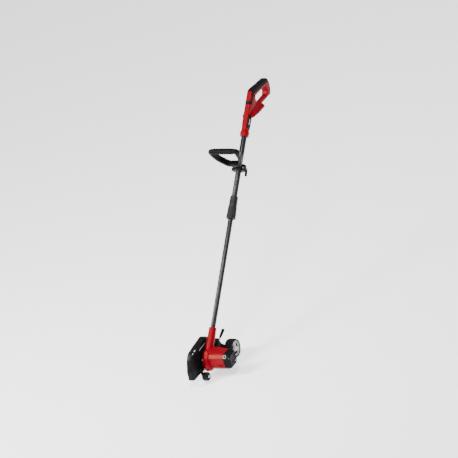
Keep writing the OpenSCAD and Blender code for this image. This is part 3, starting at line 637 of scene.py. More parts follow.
def trimmed(v):
    """The loop's lower bar is slimmer than its grip, and the handle narrows towards its front face."""
    bar = smoothstep(858, 846, v.z) * smoothstep(930, 942, v.y) * smoothstep(1030, 1010, v.y)
    n = (v - SHAFT_FOOT).dot(SHAFT_N)
    front = min(max((5 - n) / 22, 0), 1)
    return Vector((v.x * (1 - 0.12 * bar) * (1 - 0.15 * front), v.y, v.z))


def deflated(obj, by):
    inner = copy_of(obj)
    normals = [v.normal.copy() for v in inner.data.vertices]
    for v, n in zip(inner.data.vertices, normals):
        v.co -= n * by
    return inner


def build_handle():
    body = handle_mass()
    build_plate(body)
    soft_zone = fillet(SOFT_ZONE, 2.5, 4)
    core = deflated(body, 1.5)
    zone = prism(soft_zone, -40, 40)
    grip = copy_of(body)
    keep(grip, zone)
    cut(grip, core)
    seat = prism(inset(soft_zone, -0.45), -40, 40)
    cut(seat, deflated(body, 1.35))
    cut(body, seat)
    # rooms inside, the battery pocket and the openings for the trigger, button and tube
    cut(body, prism([
        p(1124, -13), p(1190, -14.5), (893, 919.5), (905, 925), (905, 891.5), (902.2, 889), (902.2, 846),
        (862, 846), p(1124, 7)
    ], -12.4, 12.4))
    cut(body, prism([(904, 903), (1020, 899), (1020, 911), (904, 918)], -8, 8))
    cut(body, drill(on_shaft(0), 12.6, COLLAR_TOP - 2, 1110))
    cut(body, prism([(903, 886), (950, 886), (950, 904), (903, 904)], -5.6, 5.6))
    cut(body, block((-27, 830.5, 825), (27, 945, 838)))
    cut(body, rod(-40, 40, 897, 900, 4.9))
    # grip lines on the inside of the lower bar, and the joint line of the front cover
    for k in range(9):
        cut(body, block((-9, 941 + 6.4 * k, 849.0), (9, 943.2 + 6.4 * k, 856)))
    joint = block((-40, -40, -0.45), (40, -14.2, 0.45), on_shaft(1136))
    cut(body, joint)
    for y, z, x in HANDLE_SCREWS:
        bore(body, x - 0.4, 40, y, z, 3.9)
        bore(grip, 9, 40, y, z, 3.9)
    left = copy_of(body)
    keep(left, block((-60, 700, 700), (-0.14, 1100, 1000)))
    keep(body, block((0.14, 700, 700), (60, 1100, 1000)))
    show(left, "handle_shell_left_skin", "handle", "red_plastic", RED, "handle_shell_left")
    show(body, "handle_shell_right_skin", "handle", "red_plastic", RED, "handle_shell_right")
    cut(grip, rod(-40, 40, 897, 900, 5.4))
    show(grip, "soft_grip", "handle", "soft_black", SOFT, "grip_overmould")
    screws = [screw(across(y, z, x), 3.5, 2.2, 1.8, 22, 1.7) for y, z, x in HANDLE_SCREWS]
    show(joined(*screws), "handle_screw_set", "handle", "steel", ARM, "handle_screws")


def build_plate(body):
    """The dark plate on the handle's side and a plain bar on it; both follow the handle's surface."""
    for name, paint_, stand, corners, nodes in (
        ("side_plate", LABEL, 0.5, [(-15, 0), (13, 0), (13, 62), (-15, 62)], ["label_plate"]),
        ("side_plate_bar", PRINT, 0.7, [(-2, 18), (0.4, 18), (0.4, 44), (-2, 44)], [])
    ):
        made = deflated(body, -stand)
        keep(made, prism(fillet(corners, 2.4), 1, 17.2, frame=on_shaft(1065)))
        cut(made, deflated(body, 0.6))
        show(made, name, "handle", "label", paint_, *nodes)


def build_trigger():
    outline = fillet([
        (945, 902.9), (913, 902.5), (911, 893), (913, 883), (917, 879, 2), (920, 880, 2), (923, 887),
        (931, 892.5), (945, 896)
    ], 4)
    blade = pillow(outline, -5, 5, 1.6)
    cut(blade, prism([(915.5, 910), (914, 892), (916, 884.5), (926, 893), (938, 897), (938, 910)], -3.4, 3.4))
    show(blade, "trigger_blade", "trigger", "black_plastic", BLACK, "trigger")
    profile = fillet([
        (0, -HALF_W - 2.5, 0), (3.2, -HALF_W - 2.5), (4.5, -HALF_W - 1.6), (4.5, -1.2, 0), (6.3, -1.2),
        (6.3, 1.2), (4.5, 1.2, 0), (4.5, HALF_W + 1.6), (3.2, HALF_W + 2.5), (0, HALF_W + 2.5, 0)
    ], 0.5, 3)
    show(lathe(profile, across(897, 900), 40),
         "lock_off_pin", "lock_button", "black_plastic", BLACK, "lock_off_button")


def build_collar():
    profile = fillet([
        (CLAMP_BORE, 1027), (18.2, 1027), (20.4, 1030), (20.4, 1034), (19.6, 1035), (19.6, 1037),
        (20.8, 1038.4), (20.8, 1044), (19, 1050), (17.6, COLLAR_TOP), (CLAMP_BORE, COLLAR_TOP)
    ], 0.9, 3)
    show(lathe(profile, on_shaft(0), 72), "collar_ring", "handle", "red_plastic", RED, "tube_collar")


# ---------------------------------------------------------------- shaft


def build_shaft():
    show(tube(690, 1100, 12.5, 11.3), "upper_tube_skin", "handle", "tube_paint", TUBE, "upper_tube")
    show(tube(55, 860, 11.25, 10.05), "lower_tube_skin", "lower_shaft", "tube_paint", TUBE, "lower_tube")

    def fluted(low, high, depth, count):
        def wave(r, z, a):
            if r < 16:
                return r
            middle = smoothstep(low, low + 5, z) * smoothstep(high, high - 5, z)
            return r - depth * middle * (0.5 + 0.5 * math.cos(count * a)) ** 3
        return wave

    steps = [704 + k * 2.5 for k in range(17)]
    outer = [(18.6 - 1.1 * (z - 700) / 47, z, 0) for z in steps]
    body = [(14, 655), (15.5, 655), (15.5, 700), (18.6, 700, 0.8), *outer, (17.5, 746.9, 1.2), (12.52, 746.9),
            (12.52, 689.7), (11.3, 689.7), (11.3, 669), (14, 669)]
    show(lathe(fillet(body, 0.3, 2), on_shaft(0), 144, fluted(703, 744, 0.9, 12)),
         "coupling_shell", "handle", "black_plastic", SLEEVE, "coupling_body")
    steps = [648 + k * 2.5 for k in range(19)]
    outer = [(21.4 - 1.8 * (z - 646) / 53.6, z, 0) for z in steps]
    sleeve = [(11.9, 643), (19.5, 643, 0.8), (21.5, 646, 0.8), *outer, (19.6, 699.5, 0.9), (15.56, 699.5),
              (15.56, 654.6), (11.9, 654.6)]
    show(lathe(fillet(sleeve, 0.3, 2), on_shaft(0), 192, fluted(649, 697, 1.3, 16)),
         "lock_sleeve_shell", "lock_sleeve", "black_plastic", SLEEVE, "lock_sleeve")


# ---------------------------------------------------------------- front handle

AUX_T = 880
AUX_REACH = 156
AUX_RISE = 25
SHAFT_TILT = math.degrees(math.atan2(SHAFT_DIR.y, SHAFT_DIR.z))
AUX_ANGLE = 180 - SHAFT_TILT - math.degrees(math.atan(AUX_RISE / AUX_REACH))
AUX_BAR = math.hypot(AUX_REACH, AUX_RISE)
BAR_X = 67.5
EAR_X = 25.5
LEVER_N = 19


def on_aux():
    """Local Y points out along the loop and local X along its grip."""
    y, z = p(AUX_T)
    return shift(0, y, z) @ about("X", math.radians(AUX_ANGLE))


ARM_PATH = [(BAR_X, AUX_BAR), (57, 94), (29, 43)]


def clamp_half(sign):
    ears = fillet([
        (-32, 0.4), (32, 0.4), (32, 8), (30, 12), (19.5, 12), (15, 15.5), (8, 20), (-8, 20), (-15, 15.5),
        (-19.5, 12), (-30, 12), (-32, 8)
    ], 2.2, 3)
    outline = [(x, n * sign) for x, n in ears]
    half = pillow(outline, -15, 15, 1.2)
    # the outline was drawn in X and n, extruded along the shaft
    turn = on_shaft(AUX_T) @ Matrix(((0, 1, 0, 0), (0, 0, 1, 0), (1, 0, 0, 0), (0, 0, 0, 1)))
    half.data.transform(turn)
    cut(half, drill(on_shaft(AUX_T), CLAMP_BORE, -30, 30))
    for x in (-EAR_X, EAR_X):
        hole = drill(FLAT, 2.7, -40, 40, 24)
        hole.data.transform(on_shaft(AUX_T) @ shift(x, 0, 0) @ about("X"))
        cut(half, hole)
    return half


def build_front_handle():
    corners = [(-x, y, 0) for x, y in ARM_PATH] + [(x, y, 0) for x, y in reversed(ARM_PATH)]
    path = along(bent(corners, 13), 4)
    loop = sweep(path, lambda i: loop_section(path[i]), (0, 0, 1), True, on_aux())
    neck = sweep(
        [Vector((0, y, 0)) for y in (14, 22, 30, 38, 46)],
        lambda i: oval((22, 23, 26, 30, 32)[i], (9, 9.5, 10, 10, 10)[i], 4, 32),
        (0, 0, 1), frame=on_aux()
    )
    bridge = pillow(fillet([
        (-30, 1), (30, 1), (30, 8), (24, 13), (20, 18), (-20, 18), (-24, 13), (-30, 8)
    ], 2), -14, 14, 2)
    turn = on_shaft(AUX_T) @ Matrix(((0, 1, 0, 0), (0, 0, -1, 0), (1, 0, 0, 0), (0, 0, 0, 1)))
    bridge.data.transform(turn)
    body = melt(joined(loop, neck, bridge), 1.0, 4)
    for side in (-1, 1):
        upper = arm_recess(side, ARM_PATH[1], ARM_PATH[0], 7, 32)
        cut(body, upper, arm_recess(side, ARM_PATH[2], ARM_PATH[1], 18, 7))
    cut(body, drill(on_shaft(AUX_T), CLAMP_BORE, -60, 60))
    cut(body, block((-60, -0.4, -60), (60, 60, 60), on_shaft(AUX_T)))
    add(body, clamp_half(-1))
    show(body, "front_loop", "aux_handle", "black_plastic", BLACK, "aux_loop")

    def knurl(r, z, a):
        middle = smoothstep(-44, -40, z) * smoothstep(44, 40, z)
        return r - 0.55 * middle * (0.5 + 0.5 * math.cos(math.tau * z / 5)) * (r > 11)

    steps = [-47 + k * 1.0 for k in range(95)]
    outer = [(13.9 - 0.9 * (abs(z) / 50) ** 4, z, 0) for z in steps]
    profile = [(10.1, -51), (12.6, -51, 0.8), *outer, (12.6, 51, 0.8), (10.1, 51)]
    grip = lathe(fillet(profile, 0.3, 2), FLAT, 64, knurl)
    grip.data.transform(on_aux() @ shift(0, AUX_BAR, 0) @ about("Y"))
    show(grip, "front_grip_sleeve", "aux_handle", "soft_black", SOFT, "aux_grip")
    show(clamp_half(1), "clamp_cap", "aux_handle", "black_plastic", BLACK, "aux_clamp_cap")
    build_clamp_bolts()


def arm_recess(side, low, high, start, spare):
    """The tool for a shallow recess on one arm's outer face, from start to spare short of its end."""
    low, high = Vector((*low, 0)), Vector((*high, 0))
    run = (high - low).normalized()
    outwards = Vector((run.y, -run.x, 0))
    length = (high - low).length
    rings = []
    for depth, slack in ((6.4, 1.2), (10, 0)):
        a, b, half = start + slack, length - spare - slack, 10 - slack
        outline = fillet([(a, -half), (b, -half), (b, half), (a, half)], 4, 4)
        ring = [low + run * at + outwards * depth + Vector((0, 0, z)) for at, z in outline]
        rings.append([on_aux() @ Vector((q.x * side, q.y, q.z)) for q in ring])
    return loft(rings)


def loop_section(point):
    """Round along the bar, thicker beside the grip, and a deep flat strap down the arms."""
    arm = smoothstep(AUX_BAR - 6, AUX_BAR - 34, point.y)
    shoulder = smoothstep(51, 53, abs(point.x))
    r = 10 + 2.4 * shoulder
    half_w = r * (1 - arm) + 7.4 * arm
    half_h = r * (1 - arm) + 14.5 * arm
    return oval(half_w, half_h, 2 + 2.4 * arm, 36)


def across_clamp(x, n):
    """Local Z towards the user's side, at one of the clamp's bolts."""
    return on_shaft(AUX_T) @ shift(x, n, 0) @ about("X", -math.pi / 2)


def build_clamp_bolts():
    parts = []
    for x, top in ((-EAR_X, 15.5), (EAR_X, LEVER_N + 2)):
        profile = fillet([(0, -12.2, 0), (2.6, -12.2, 0), (2.6, top), (0, top, 0)], 0.5, 2)
        parts.append(lathe(profile, across_clamp(x, 0), 24))
        parts.append(hexagon_nut(across_clamp(x, -15.6), 4.6, 3.5))
    parts.append(hexagon_nut(across_clamp(-EAR_X, 12.1), 4.6, 3.4))
    parts.append(drill(across_clamp(-EAR_X, 12.0), 7, 0, 0.6, 32))
    pin = lathe(fillet([(0, -6, 0), (2.5, -6), (2.5, 6), (0, 6, 0)], 0.4, 2), FLAT, 24)
    lever_pin = on_shaft(AUX_T) @ shift(EAR_X, LEVER_N, 0) @ about("Y")
    pin.data.transform(lever_pin)
    parts.append(pin)
    show(joined(*parts), "clamp_bolt_set", "aux_handle", "steel", STEEL, "aux_clamp_bolts")
    outline = fillet([
        (-6.4, 5, 6), (6.4, 6, 6), (6.8, -8), (7.8, -22), (8.8, -30, 2), (6.0, -31, 2), (3.2, -22),
        (1.6, -8), (-6.2, -4, 5)
    ], 3, 4)
    lever = pillow([(n + LEVER_N, t) for n, t in outline], EAR_X - 5.5, EAR_X + 5.5, 1.2)
    lever.data.transform(on_shaft(AUX_T))
    low, high = (EAR_X - 3.1, LEVER_N - 10, -8), (EAR_X + 3.1, LEVER_N + 4.8, 8)
    cut(lever, block(low, high, on_shaft(AUX_T)))
    hole = drill(FLAT, 2.56, -12, 12, 24)
    hole.data.transform(lever_pin)
    cut(lever, hole)
    show(lever, "quick_lever_arm", "quick_lever", "black_plastic", BLACK, "quick_lever")


def hexagon_nut(frame_, r, height):
    return loft([
        [frame_ @ Vector((x * s, y * s, z)) for x, y in hexagon(r)]
        for z, s in ((0, 0.9), (0.5, 1), (height - 0.5, 1), (height, 0.9))
    ])


build_handle()
build_trigger()
build_collar()
build_shaft()
build_front_handle()


# ---------------------------------------------------------------- cutting head

GEARCASE = [
    (-20, 127), (-46, 104), (-52, 72), (-48, 42), (-31, 32), (-10, 32.5), (16, 41), (34, 58), (36, 104),
    (28, 127)
]
HOUSING = [(27, 115), (-26, 113), (-39, 100), (-37, 55), (-26, 42), (18, 42), (33, 56), (35, 104)]
HOUSING_END = 89.5
CAP_END = 120
SPINDLE = (-20.19, 59.81)
HEAD_SCREWS = [(-43, 96), (-43.5, 49), (26, 56), (31, 100)]
CAP_SCREWS = [(-30, 100), (-28, 52), (27, 56), (28, 103)]


def build_housings():
    gear_box = side_loft([
        (-14.5, inset(GEARCASE, 7.5)), (-12.5, inset(GEARCASE, 5.6)), (-2, GEARCASE),
        (14.5, inset(GEARCASE, 1.6))
    ])
    motor_box = side_loft([(8, HOUSING), (HOUSING_END - 0.8, HOUSING), (HOUSING_END, inset(HOUSING, 0.7))])
    wedge = loft([
        [(8, y, 108), (8, y, 127), (16, y, 126.6), (HOUSING_END - 0.5, y, 114.2), (HOUSING_END - 0.5, y, 108)]
        for y in (-23, 27)
    ])
    socket = lathe([
        (0, 8), (19.6, 8), (16.8, 134), (17.4, 135), (17.4, 137), (16.6, 138), (0, 138)
    ], on_shaft(0), 96)
    boss = rod(-19, -10, *SPINDLE, 15, 0.8)
    body = melt(joined(gear_box, motor_box, wedge, socket, boss), 0.9, 3)
    for t in (98, 110, 122):
        r = 19.6 - 2.8 * (t - 8) / 126
        cut(body, lathe([(r - 0.9, t), (r + 6, t), (r + 6, t + 2), (r - 0.9, t + 2)], on_shaft(0), 96))
    inner = inset(HOUSING, 2.6)
    cut(body, side_loft([(16, inner), (HOUSING_END + 2, inner)]))
    cut(body, drill(on_shaft(0), 11.32, 55, 150, 96))
    bore(body, -8.5, 1.5, *SPINDLE, 25.2)
    bore(body, -8.4, 20, 0, 82, 10.2)
    bore(body, -17.1, 10, *SPINDLE, 11.05)
    bore(body, -25, -8, *SPINDLE, 6.6)
    bore(body, -5, 20, 4.5, 108, 4.5)
    for y, z in HEAD_SCREWS:
        bore(body, -30, -11.5, y, z, 3.7)
    for k in range(5):
        x0, x1 = 56 + 6 * k, 59 + 6 * k
        cut(body, loft([[(x0, y, 53), (x1, y, 53), (x1, y, 69), (x0, y, 69)] for y in (-60, -28)]))
    # the joint line round the motor housing, a little in from the cap
    band = inset(HOUSING, -4)
    groove = side_loft([(HOUSING_END - 4.6, band), (HOUSING_END - 3.6, band)])
    cut(groove, side_loft([(0, inset(HOUSING, 0.8)), (200, inset(HOUSING, 0.8))]))
    cut(groove, block((0, -60, 110), (200, 60, 200)))
    cut(body, groove)
    left = copy_of(body)
    keep(left, block((-60, -100, 0), (-0.12, 200, 300)))
    keep(body, block((0.12, -100, 0), (100, 200, 300)))
    show(left, "gear_housing_skin", "lower_shaft", "red_plastic", RED, "gearcase_shell")
    show(body, "motor_housing_skin", "lower_shaft", "red_plastic", RED, "motor_housing")


def build_end_cap():
    cap = side_loft([
        (HOUSING_END + 0.2, HOUSING), (102, HOUSING), (111, inset(HOUSING, 2.6)), (117, inset(HOUSING, 6.0)),
        (CAP_END, inset(HOUSING, 9))
    ])
    boss = rod(108, CAP_END, -12, 74, 12, 0.8)
    cap = melt(joined(cap, boss), 0.85, 3)
    wall = ((88, 2.6), (102, 2.6), (111, 5.4), (117, 10.5))
    cut(cap, side_loft([(x, inset(HOUSING, by)) for x, by in wall]))
    for k in range(5):
        cut(cap, block((108, 4, 61.5 + 8 * k), (125, 23, 65.2 + 8 * k)))
    for k in range(4):
        cut(cap, block((93.5, -60, 57.6 + 9 * k), (103.5, -30, 61.2 + 9 * k)))
    bore(cap, 117.4, 125, -12, 74, 8.6)
    for y, z in CAP_SCREWS:
        bore(cap, 101.2, 125, y, z, 3.8)
    show(cap, "motor_cap_skin", "lower_shaft", "black_plastic", BLACK, "motor_end_cap")
    medallion = lathe(fillet([
        (0, 112, 0), (8.5, 112), (8.5, 118.2, 0.5), (6.6, 118.9, 0.3), (6.2, 118.4, 0.2), (0, 118.4, 0)
    ], 0.2, 3), across(-12, 74), 48)
    show(medallion, "motor_cap_medallion", "lower_shaft", "black_plastic", BLACK)
    # the round cap over the brush, on the slope between the cap's front and its top
    slope = shift(97.5, -32, 106.2) @ about("X", math.radians(45))
    collar = lathe(fillet([(6, -4), (8.6, -4), (8.6, 1.6), (6, 1.6)], 0.5, 3), slope, 48)
    show(collar, "brush_collar", "lower_shaft", "hub_grey", HUB)
    plug = lathe(fillet([(0, -4, 0), (5.9, -4), (5.9, 0.8), (0, 0.8, 0)], 0.4, 3), slope, 40)
    cut(plug, block((-4, -0.8, 0.1), (4, 0.8, 4), slope))
    show(plug, "brush_plug", "lower_shaft", "black_plastic", BLACK)


def build_head_screws():
    screws = [screw(across(y, z, -11.6) @ about("X", math.pi), 3.4, 2.4, 1.8, 22, 1.6)
              for y, z in HEAD_SCREWS]
    screws += [screw(across(y, z, 101.2), 3.4, 2.4, 1.8, 20, 1.6) for y, z in CAP_SCREWS]
    show(joined(*screws), "head_screw_set", "lower_shaft", "steel", STEEL, "head_screws")


# ---------------------------------------------------------------- guard

GUARD_EDGE = [
    (-119, 35, 3), (-130, 44, 5), (-127, 82), (-104, 128), (-84, 149), (-70, 153), (40, 163), (50, 162),
    (112, 125), (120, 100), (118, 60), (104, 35, 3)
]
GUARD_IN = -24
GUARD_OUT = -52
GUARD_SLOPE = (8, 6.5)
BRACKET_SCREWS = [(-61, 53), (-73, 67)]
QUADRANT_SCREWS = [(82, 86), (104, 115)]


def guard_ring(by):
    """The guard's side view moved inwards, with its corners rounded to match."""
    corners = inset(GUARD_EDGE, by)
    radii = [q[2] if len(q) > 2 else 12 for q in GUARD_EDGE]
    return fillet([(*q, max(r - by, 1)) for q, r in zip(corners, radii)], 12, 4)


def build_guard():
    run, drop_ = GUARD_SLOPE
    outer = side_loft([
        (GUARD_OUT, guard_ring(0.9)), (GUARD_OUT + 0.4, guard_ring(0.3)), (GUARD_OUT + 1.2, guard_ring(0)),
        (GUARD_IN - run - 0.6, guard_ring(0)), (GUARD_IN - run + 0.4, guard_ring(0.4)),
        (GUARD_IN - 0.8, guard_ring(drop_ - 0.8)), (GUARD_IN - 0.2, guard_ring(drop_ - 0.2)),
        (GUARD_IN, guard_ring(drop_ + 0.5))
    ])
    inner = side_loft([
        (GUARD_OUT - 2, guard_ring(2.5)), (GUARD_IN - run - 1, guard_ring(2.5)),
        (GUARD_IN - 2.5, guard_ring(drop_ + 2.5))
    ])
    mouth = block((GUARD_OUT - 5, -112, 0), (GUARD_IN - 2.5, 98, 50))
    cut(outer, inner, mouth)
    add(outer, rod(GUARD_IN - 1, -14.6, *SPINDLE, 26, 1.2, 72))
    # raised bead round the face, and ribs behind the boss
    bead = side_loft([(GUARD_IN - 0.6, guard_ring(13)), (GUARD_IN + 0.5, guard_ring(13.4))])
    cut(bead, side_loft([(GUARD_IN - 3, guard_ring(15.6)), (GUARD_IN + 3, guard_ring(15.6))]))
    cut(bead, block((-60, -140, 0), (20, 140, 48)))
    add(outer, bead)
    for a in (35, 80, 125, 170):
        along_rib = shift(0, *SPINDLE) @ about("X", math.radians(a))
        add(outer, block((GUARD_IN - 0.6, 20, -1.2), (GUARD_IN + 1.6, 62, 1.2), along_rib))
    bore(outer, GUARD_OUT - 5, 0, *SPINDLE, 16, 64)
    show(outer, "guard_shell", "lower_shaft", "guard_plastic", GUARD, "guard", angle=28)
    build_guard_marks()
    washers = []
    spots = [(SPINDLE[0] + 21 * math.cos(math.radians(a)), SPINDLE[1] + 21 * math.sin(math.radians(a)))
             for a in (90, 210, 330)]
    for y, z in spots + BRACKET_SCREWS + QUADRANT_SCREWS:
        frame_ = across(y, z, GUARD_IN - 2.5) @ about("X", math.pi)
        washers.append(screw(frame_, 4, 2.4, 1.8, 16, 1.8))
    show(joined(*washers), "guard_screw_set", "lower_shaft", "steel", STEEL, "guard_screws")


def slope_frame(a, b):
    """On the guard's sloped rim from a to b: local X runs along the edge and local Z stands off it."""
    run, drop_ = GUARD_SLOPE
    e = Vector((0, b[0] - a[0], b[1] - a[1])).normalized()
    down = Vector((0, e.z, -e.y))
    across_ = (Vector((run, 0, 0)) + down * drop_).normalized()
    out = e.cross(across_)
    if out.x < 0:
        out = -out
    turn = Matrix((e, across_, out)).transposed().to_4x4()
    return Matrix.Translation((GUARD_IN - run, a[0], a[1])) @ turn


def flat_mark(frame_, corners, thick=0.3):
    return loft([[frame_ @ Vector((x, y, z)) for x, y in corners] for z in (-0.3, thick)])


def build_guard_marks():
    """A plain arrow on the sloped rim that says which way the blade turns, and a plain stripe on the face."""
    top = slope_frame((-70, 153), (40, 163))
    head = flat_mark(top, [(4, 5), (12, 1.4), (12, 3.6), (19, 3.6), (19, 6.6), (12, 6.6), (12, 8.8)])
    front = slope_frame((-84, 149), (-70, 153))
    tail = flat_mark(front, [(1.5, 3.4), (8.5, 3.4), (8.5, 6.8), (1.5, 6.8)])
    show(joined(head, tail), "guard_arrow", "lower_shaft", "hub_grey", PRINT)
    stripe = pillow(
        [(-29, 134.6), (32, 138.1), (32, 140.3), (-29, 136.8)], GUARD_IN - 0.4, GUARD_IN + 0.3, 0, 0.1, 2
    )
    show(stripe, "guard_stripe", "lower_shaft", "hub_grey", PRINT)


# ---------------------------------------------------------------- blade and spindle ends


def build_blade():
    y, z = SPINDLE
    outline = fillet([(y - 88, z - 24), (y + 88, z - 24), (y + 88, z + 24), (y - 88, z + 24)], 5, 4)
    ground = inset(outline, 2.6)
    blade = side_loft([(-39.5, ground), (-38.4, outline), (-37.6, outline), (-36.5, ground)])
    bore(blade, -45, -30, y, z, 4.02)
    for side in (-1, 1):
        bore(blade, -45, -30, y + 26 * side, z, 4)
        for k in range(3):
            cut(blade, rod(-45, -30, y + (74 - 11 * k) * side, z + 24.5 * side, 3.2, 0, 24))
    show(blade, "blade_ground", "blade_spindle", "blade_steel", BLADE, "blade", angle=25)
    nut = joined(
        ring(-41.5, -39.5, y, z, 12, 4.03, segments=48),
        hexagon_nut(across(y, z, -47), 7.5, 5.6)
    )
    bore(nut, -50, -38, y, z, 4.03)
    show(nut, "blade_nut_skin", "blade_spindle", "steel", STEEL, "blade_nut")
    flange = fillet([
        (4.03, -36.5), (14, -36.5), (14, -33.4), (11, -32.5), (5.9, -31.8), (5.9, -17.3), (4.03, -17.3)
    ], 0.4, 2)
    show(lathe(flange, across(y, z), 56),
         "inner_flange_skin", "blade_spindle", "steel", STEEL, "inner_flange")


# ---------------------------------------------------------------- roller, wheel and depth lever

ROLLER = (-54, 19.5)
PIVOT = (95, 92)
WHEEL = (150, 42.5)
KNEE = (97, 113)
TIP = (157, 137)


def build_roller():
    bracket = add(
        pillow(hull([(*ROLLER, 9), (-61, 53, 8)]), GUARD_IN + 0.05, GUARD_IN + 2.9, 0, 0.9, 2),
        pillow(hull([(-61, 53, 8), (-73, 67, 8)]), GUARD_IN + 0.05, GUARD_IN + 2.9, 0, 0.9, 2),
        *[rod(GUARD_IN + 0.5, -9, y, z, 4.5, 0.6, 32) for y, z in BRACKET_SCREWS]
    )
    bore(bracket, -30, -15, *ROLLER, 4.02)
    show(bracket, "roller_bracket_skin", "lower_shaft", "black_plastic", BLACK, "roller_bracket")
    x0, r = -20.8, 19.5
    steps = [x0 + 2.6 + 0.55 * k for k in range(37)]

    def tread(radius, x, a):
        if radius < 18:
            return radius
        rings = 0.9 * (0.5 + 0.5 * math.cos(math.tau * (x - x0) / 5)) ** 6
        return radius - rings

    outer = [(r, x, 0) for x in steps]
    profile = [(4.05, x0), (16.8, x0), (r - 0.8, x0 + 0.8, 0.5), *outer, (r - 0.8, 3.4, 0.5), (16.6, 4.2),
               (15.5, 4.2), (15.5, 1.2), (8.5, 1.2), (8.5, 4.2), (4.05, 4.2)]
    show(lathe(fillet(profile, 0.4, 2), across(*ROLLER), 72, tread),
         "front_roller_skin", "front_roller", "roller_rubber", ROLLER_PAINT, "front_roller")
    axle = fillet([(0, GUARD_IN, 0), (4, GUARD_IN), (4, 5.0, 0), (6.5, 5.0), (6.5, 7.2, 0.9), (3, 7.2, 0.3),
                   (2.6, 6.2, 0.2), (0, 6.2, 0)], 0.3, 3)
    show(lathe(axle, across(*ROLLER), 40), "roller_pin", "lower_shaft", "steel", STEEL, "roller_axle")


def build_wheel():
    x0, width, r = 9, 40, 42.5
    steps = [x0 + 4.5 + k * 0.775 for k in range(41)]

    def tread(radius, x, a):
        if radius < 41.9:
            return radius
        u = (x - x0 - width / 2) / (width / 2)
        lug = math.cos(36 * a + 5.5 * abs(u))
        cross = 1.25 * smoothstep(0.62, 0.86, lug) * smoothstep(0.05, 0.16, abs(u))
        ring_ = 1.25 * smoothstep(0.045, 0.02, abs(abs(u) - 0.42))
        return radius - max(cross, ring_) * smoothstep(0.99, 0.9, abs(u))

    outer = [(r - 0.45 * ((x - x0 - 20) / 15.5) ** 2, x, 0) for x in steps]
    x1 = x0 + width
    profile = [(34.03, x0 + 1), (38, x0, 1), (40.2, x0 + 1.0, 1.2), (41.6, x0 + 3.0, 1), *outer,
               (41.6, x1 - 3.0, 1), (40.2, x1 - 1.0, 1.2), (38, x1, 1), (34.03, x1 - 1)]
    show(lathe(fillet(profile, 0.3, 3), across(*WHEEL), 432, tread),
         "tyre_skin", "rear_wheel", "tyre_rubber", TYRE, "wheel_tyre")
    rim = ring(11, 46.6, *WHEEL, 34, 31, 0.8, 96)
    turns = [math.tau * k / 96 for k in range(96)]
    face = [(WHEEL[0] + 31.6 * math.cos(a), WHEEL[1] + 31.6 * math.sin(a)) for a in turns]
    face = pillow(face, 40.6, 45, 0.2, 0.2, 2)
    for k in range(3):
        cut(face, window(math.tau * (k / 3) + 0.35))
    boss = fillet([(4.05, 9.6), (9, 9.6), (9, 40), (12.5, 43), (12.5, 46.4, 1.2), (4.05, 46.4)], 0.6, 3)
    boss = lathe(boss, across(*WHEEL), 56)
    hub = add(rim, face, boss)
    bore(hub, 5, 60, *WHEEL, 4.05)
    # The hub's inner barrel is part of the grey moulding but is painted black as painted shade, so the
    # openings between the spokes look shadowed.
    barrel = copy_of(hub)
    keep(barrel, block((0, 100, -10), (39.5, 200, 100)))
    keep(hub, block((39.5, 100, -10), (60, 200, 100)))
    show(hub, "hub_face", "rear_wheel", "hub_grey", HUB, "wheel_hub", angle=30)
    show(barrel, "hub_barrel_painted_shade", "rear_wheel", "hub_grey", BLACK, angle=30)
    axle = fillet([
        (0, 1, 0), (4, 1), (4, 47.3, 0), (7.5, 47.3), (7.5, 49.2, 0.9), (4.2, 50, 0.6), (0, 50, 0)
    ], 0.3, 3)
    show(lathe(axle, across(*WHEEL), 40), "wheel_axle_skin", "wheel_arm", "steel", STEEL, "wheel_axle")


def window(turn):
    """The tool for one of the openings between the hub's three spokes."""
    half = 0.70
    arc = [(27.2, turn - half + 2 * half * k / 14) for k in range(15)]
    inner = [(15.5, turn + 0.42), (14.6, turn), (15.5, turn - 0.42)]
    outline = [(WHEEL[0] + r * math.cos(a), WHEEL[1] + r * math.sin(a)) for r, a in arc + inner]
    outline = fillet(outline, 2.5, 4)
    flare = [(30, outline), (43.6, outline), (45.01, inset(outline, -1.4)), (52, inset(outline, -1.4))]
    return side_loft(flare)


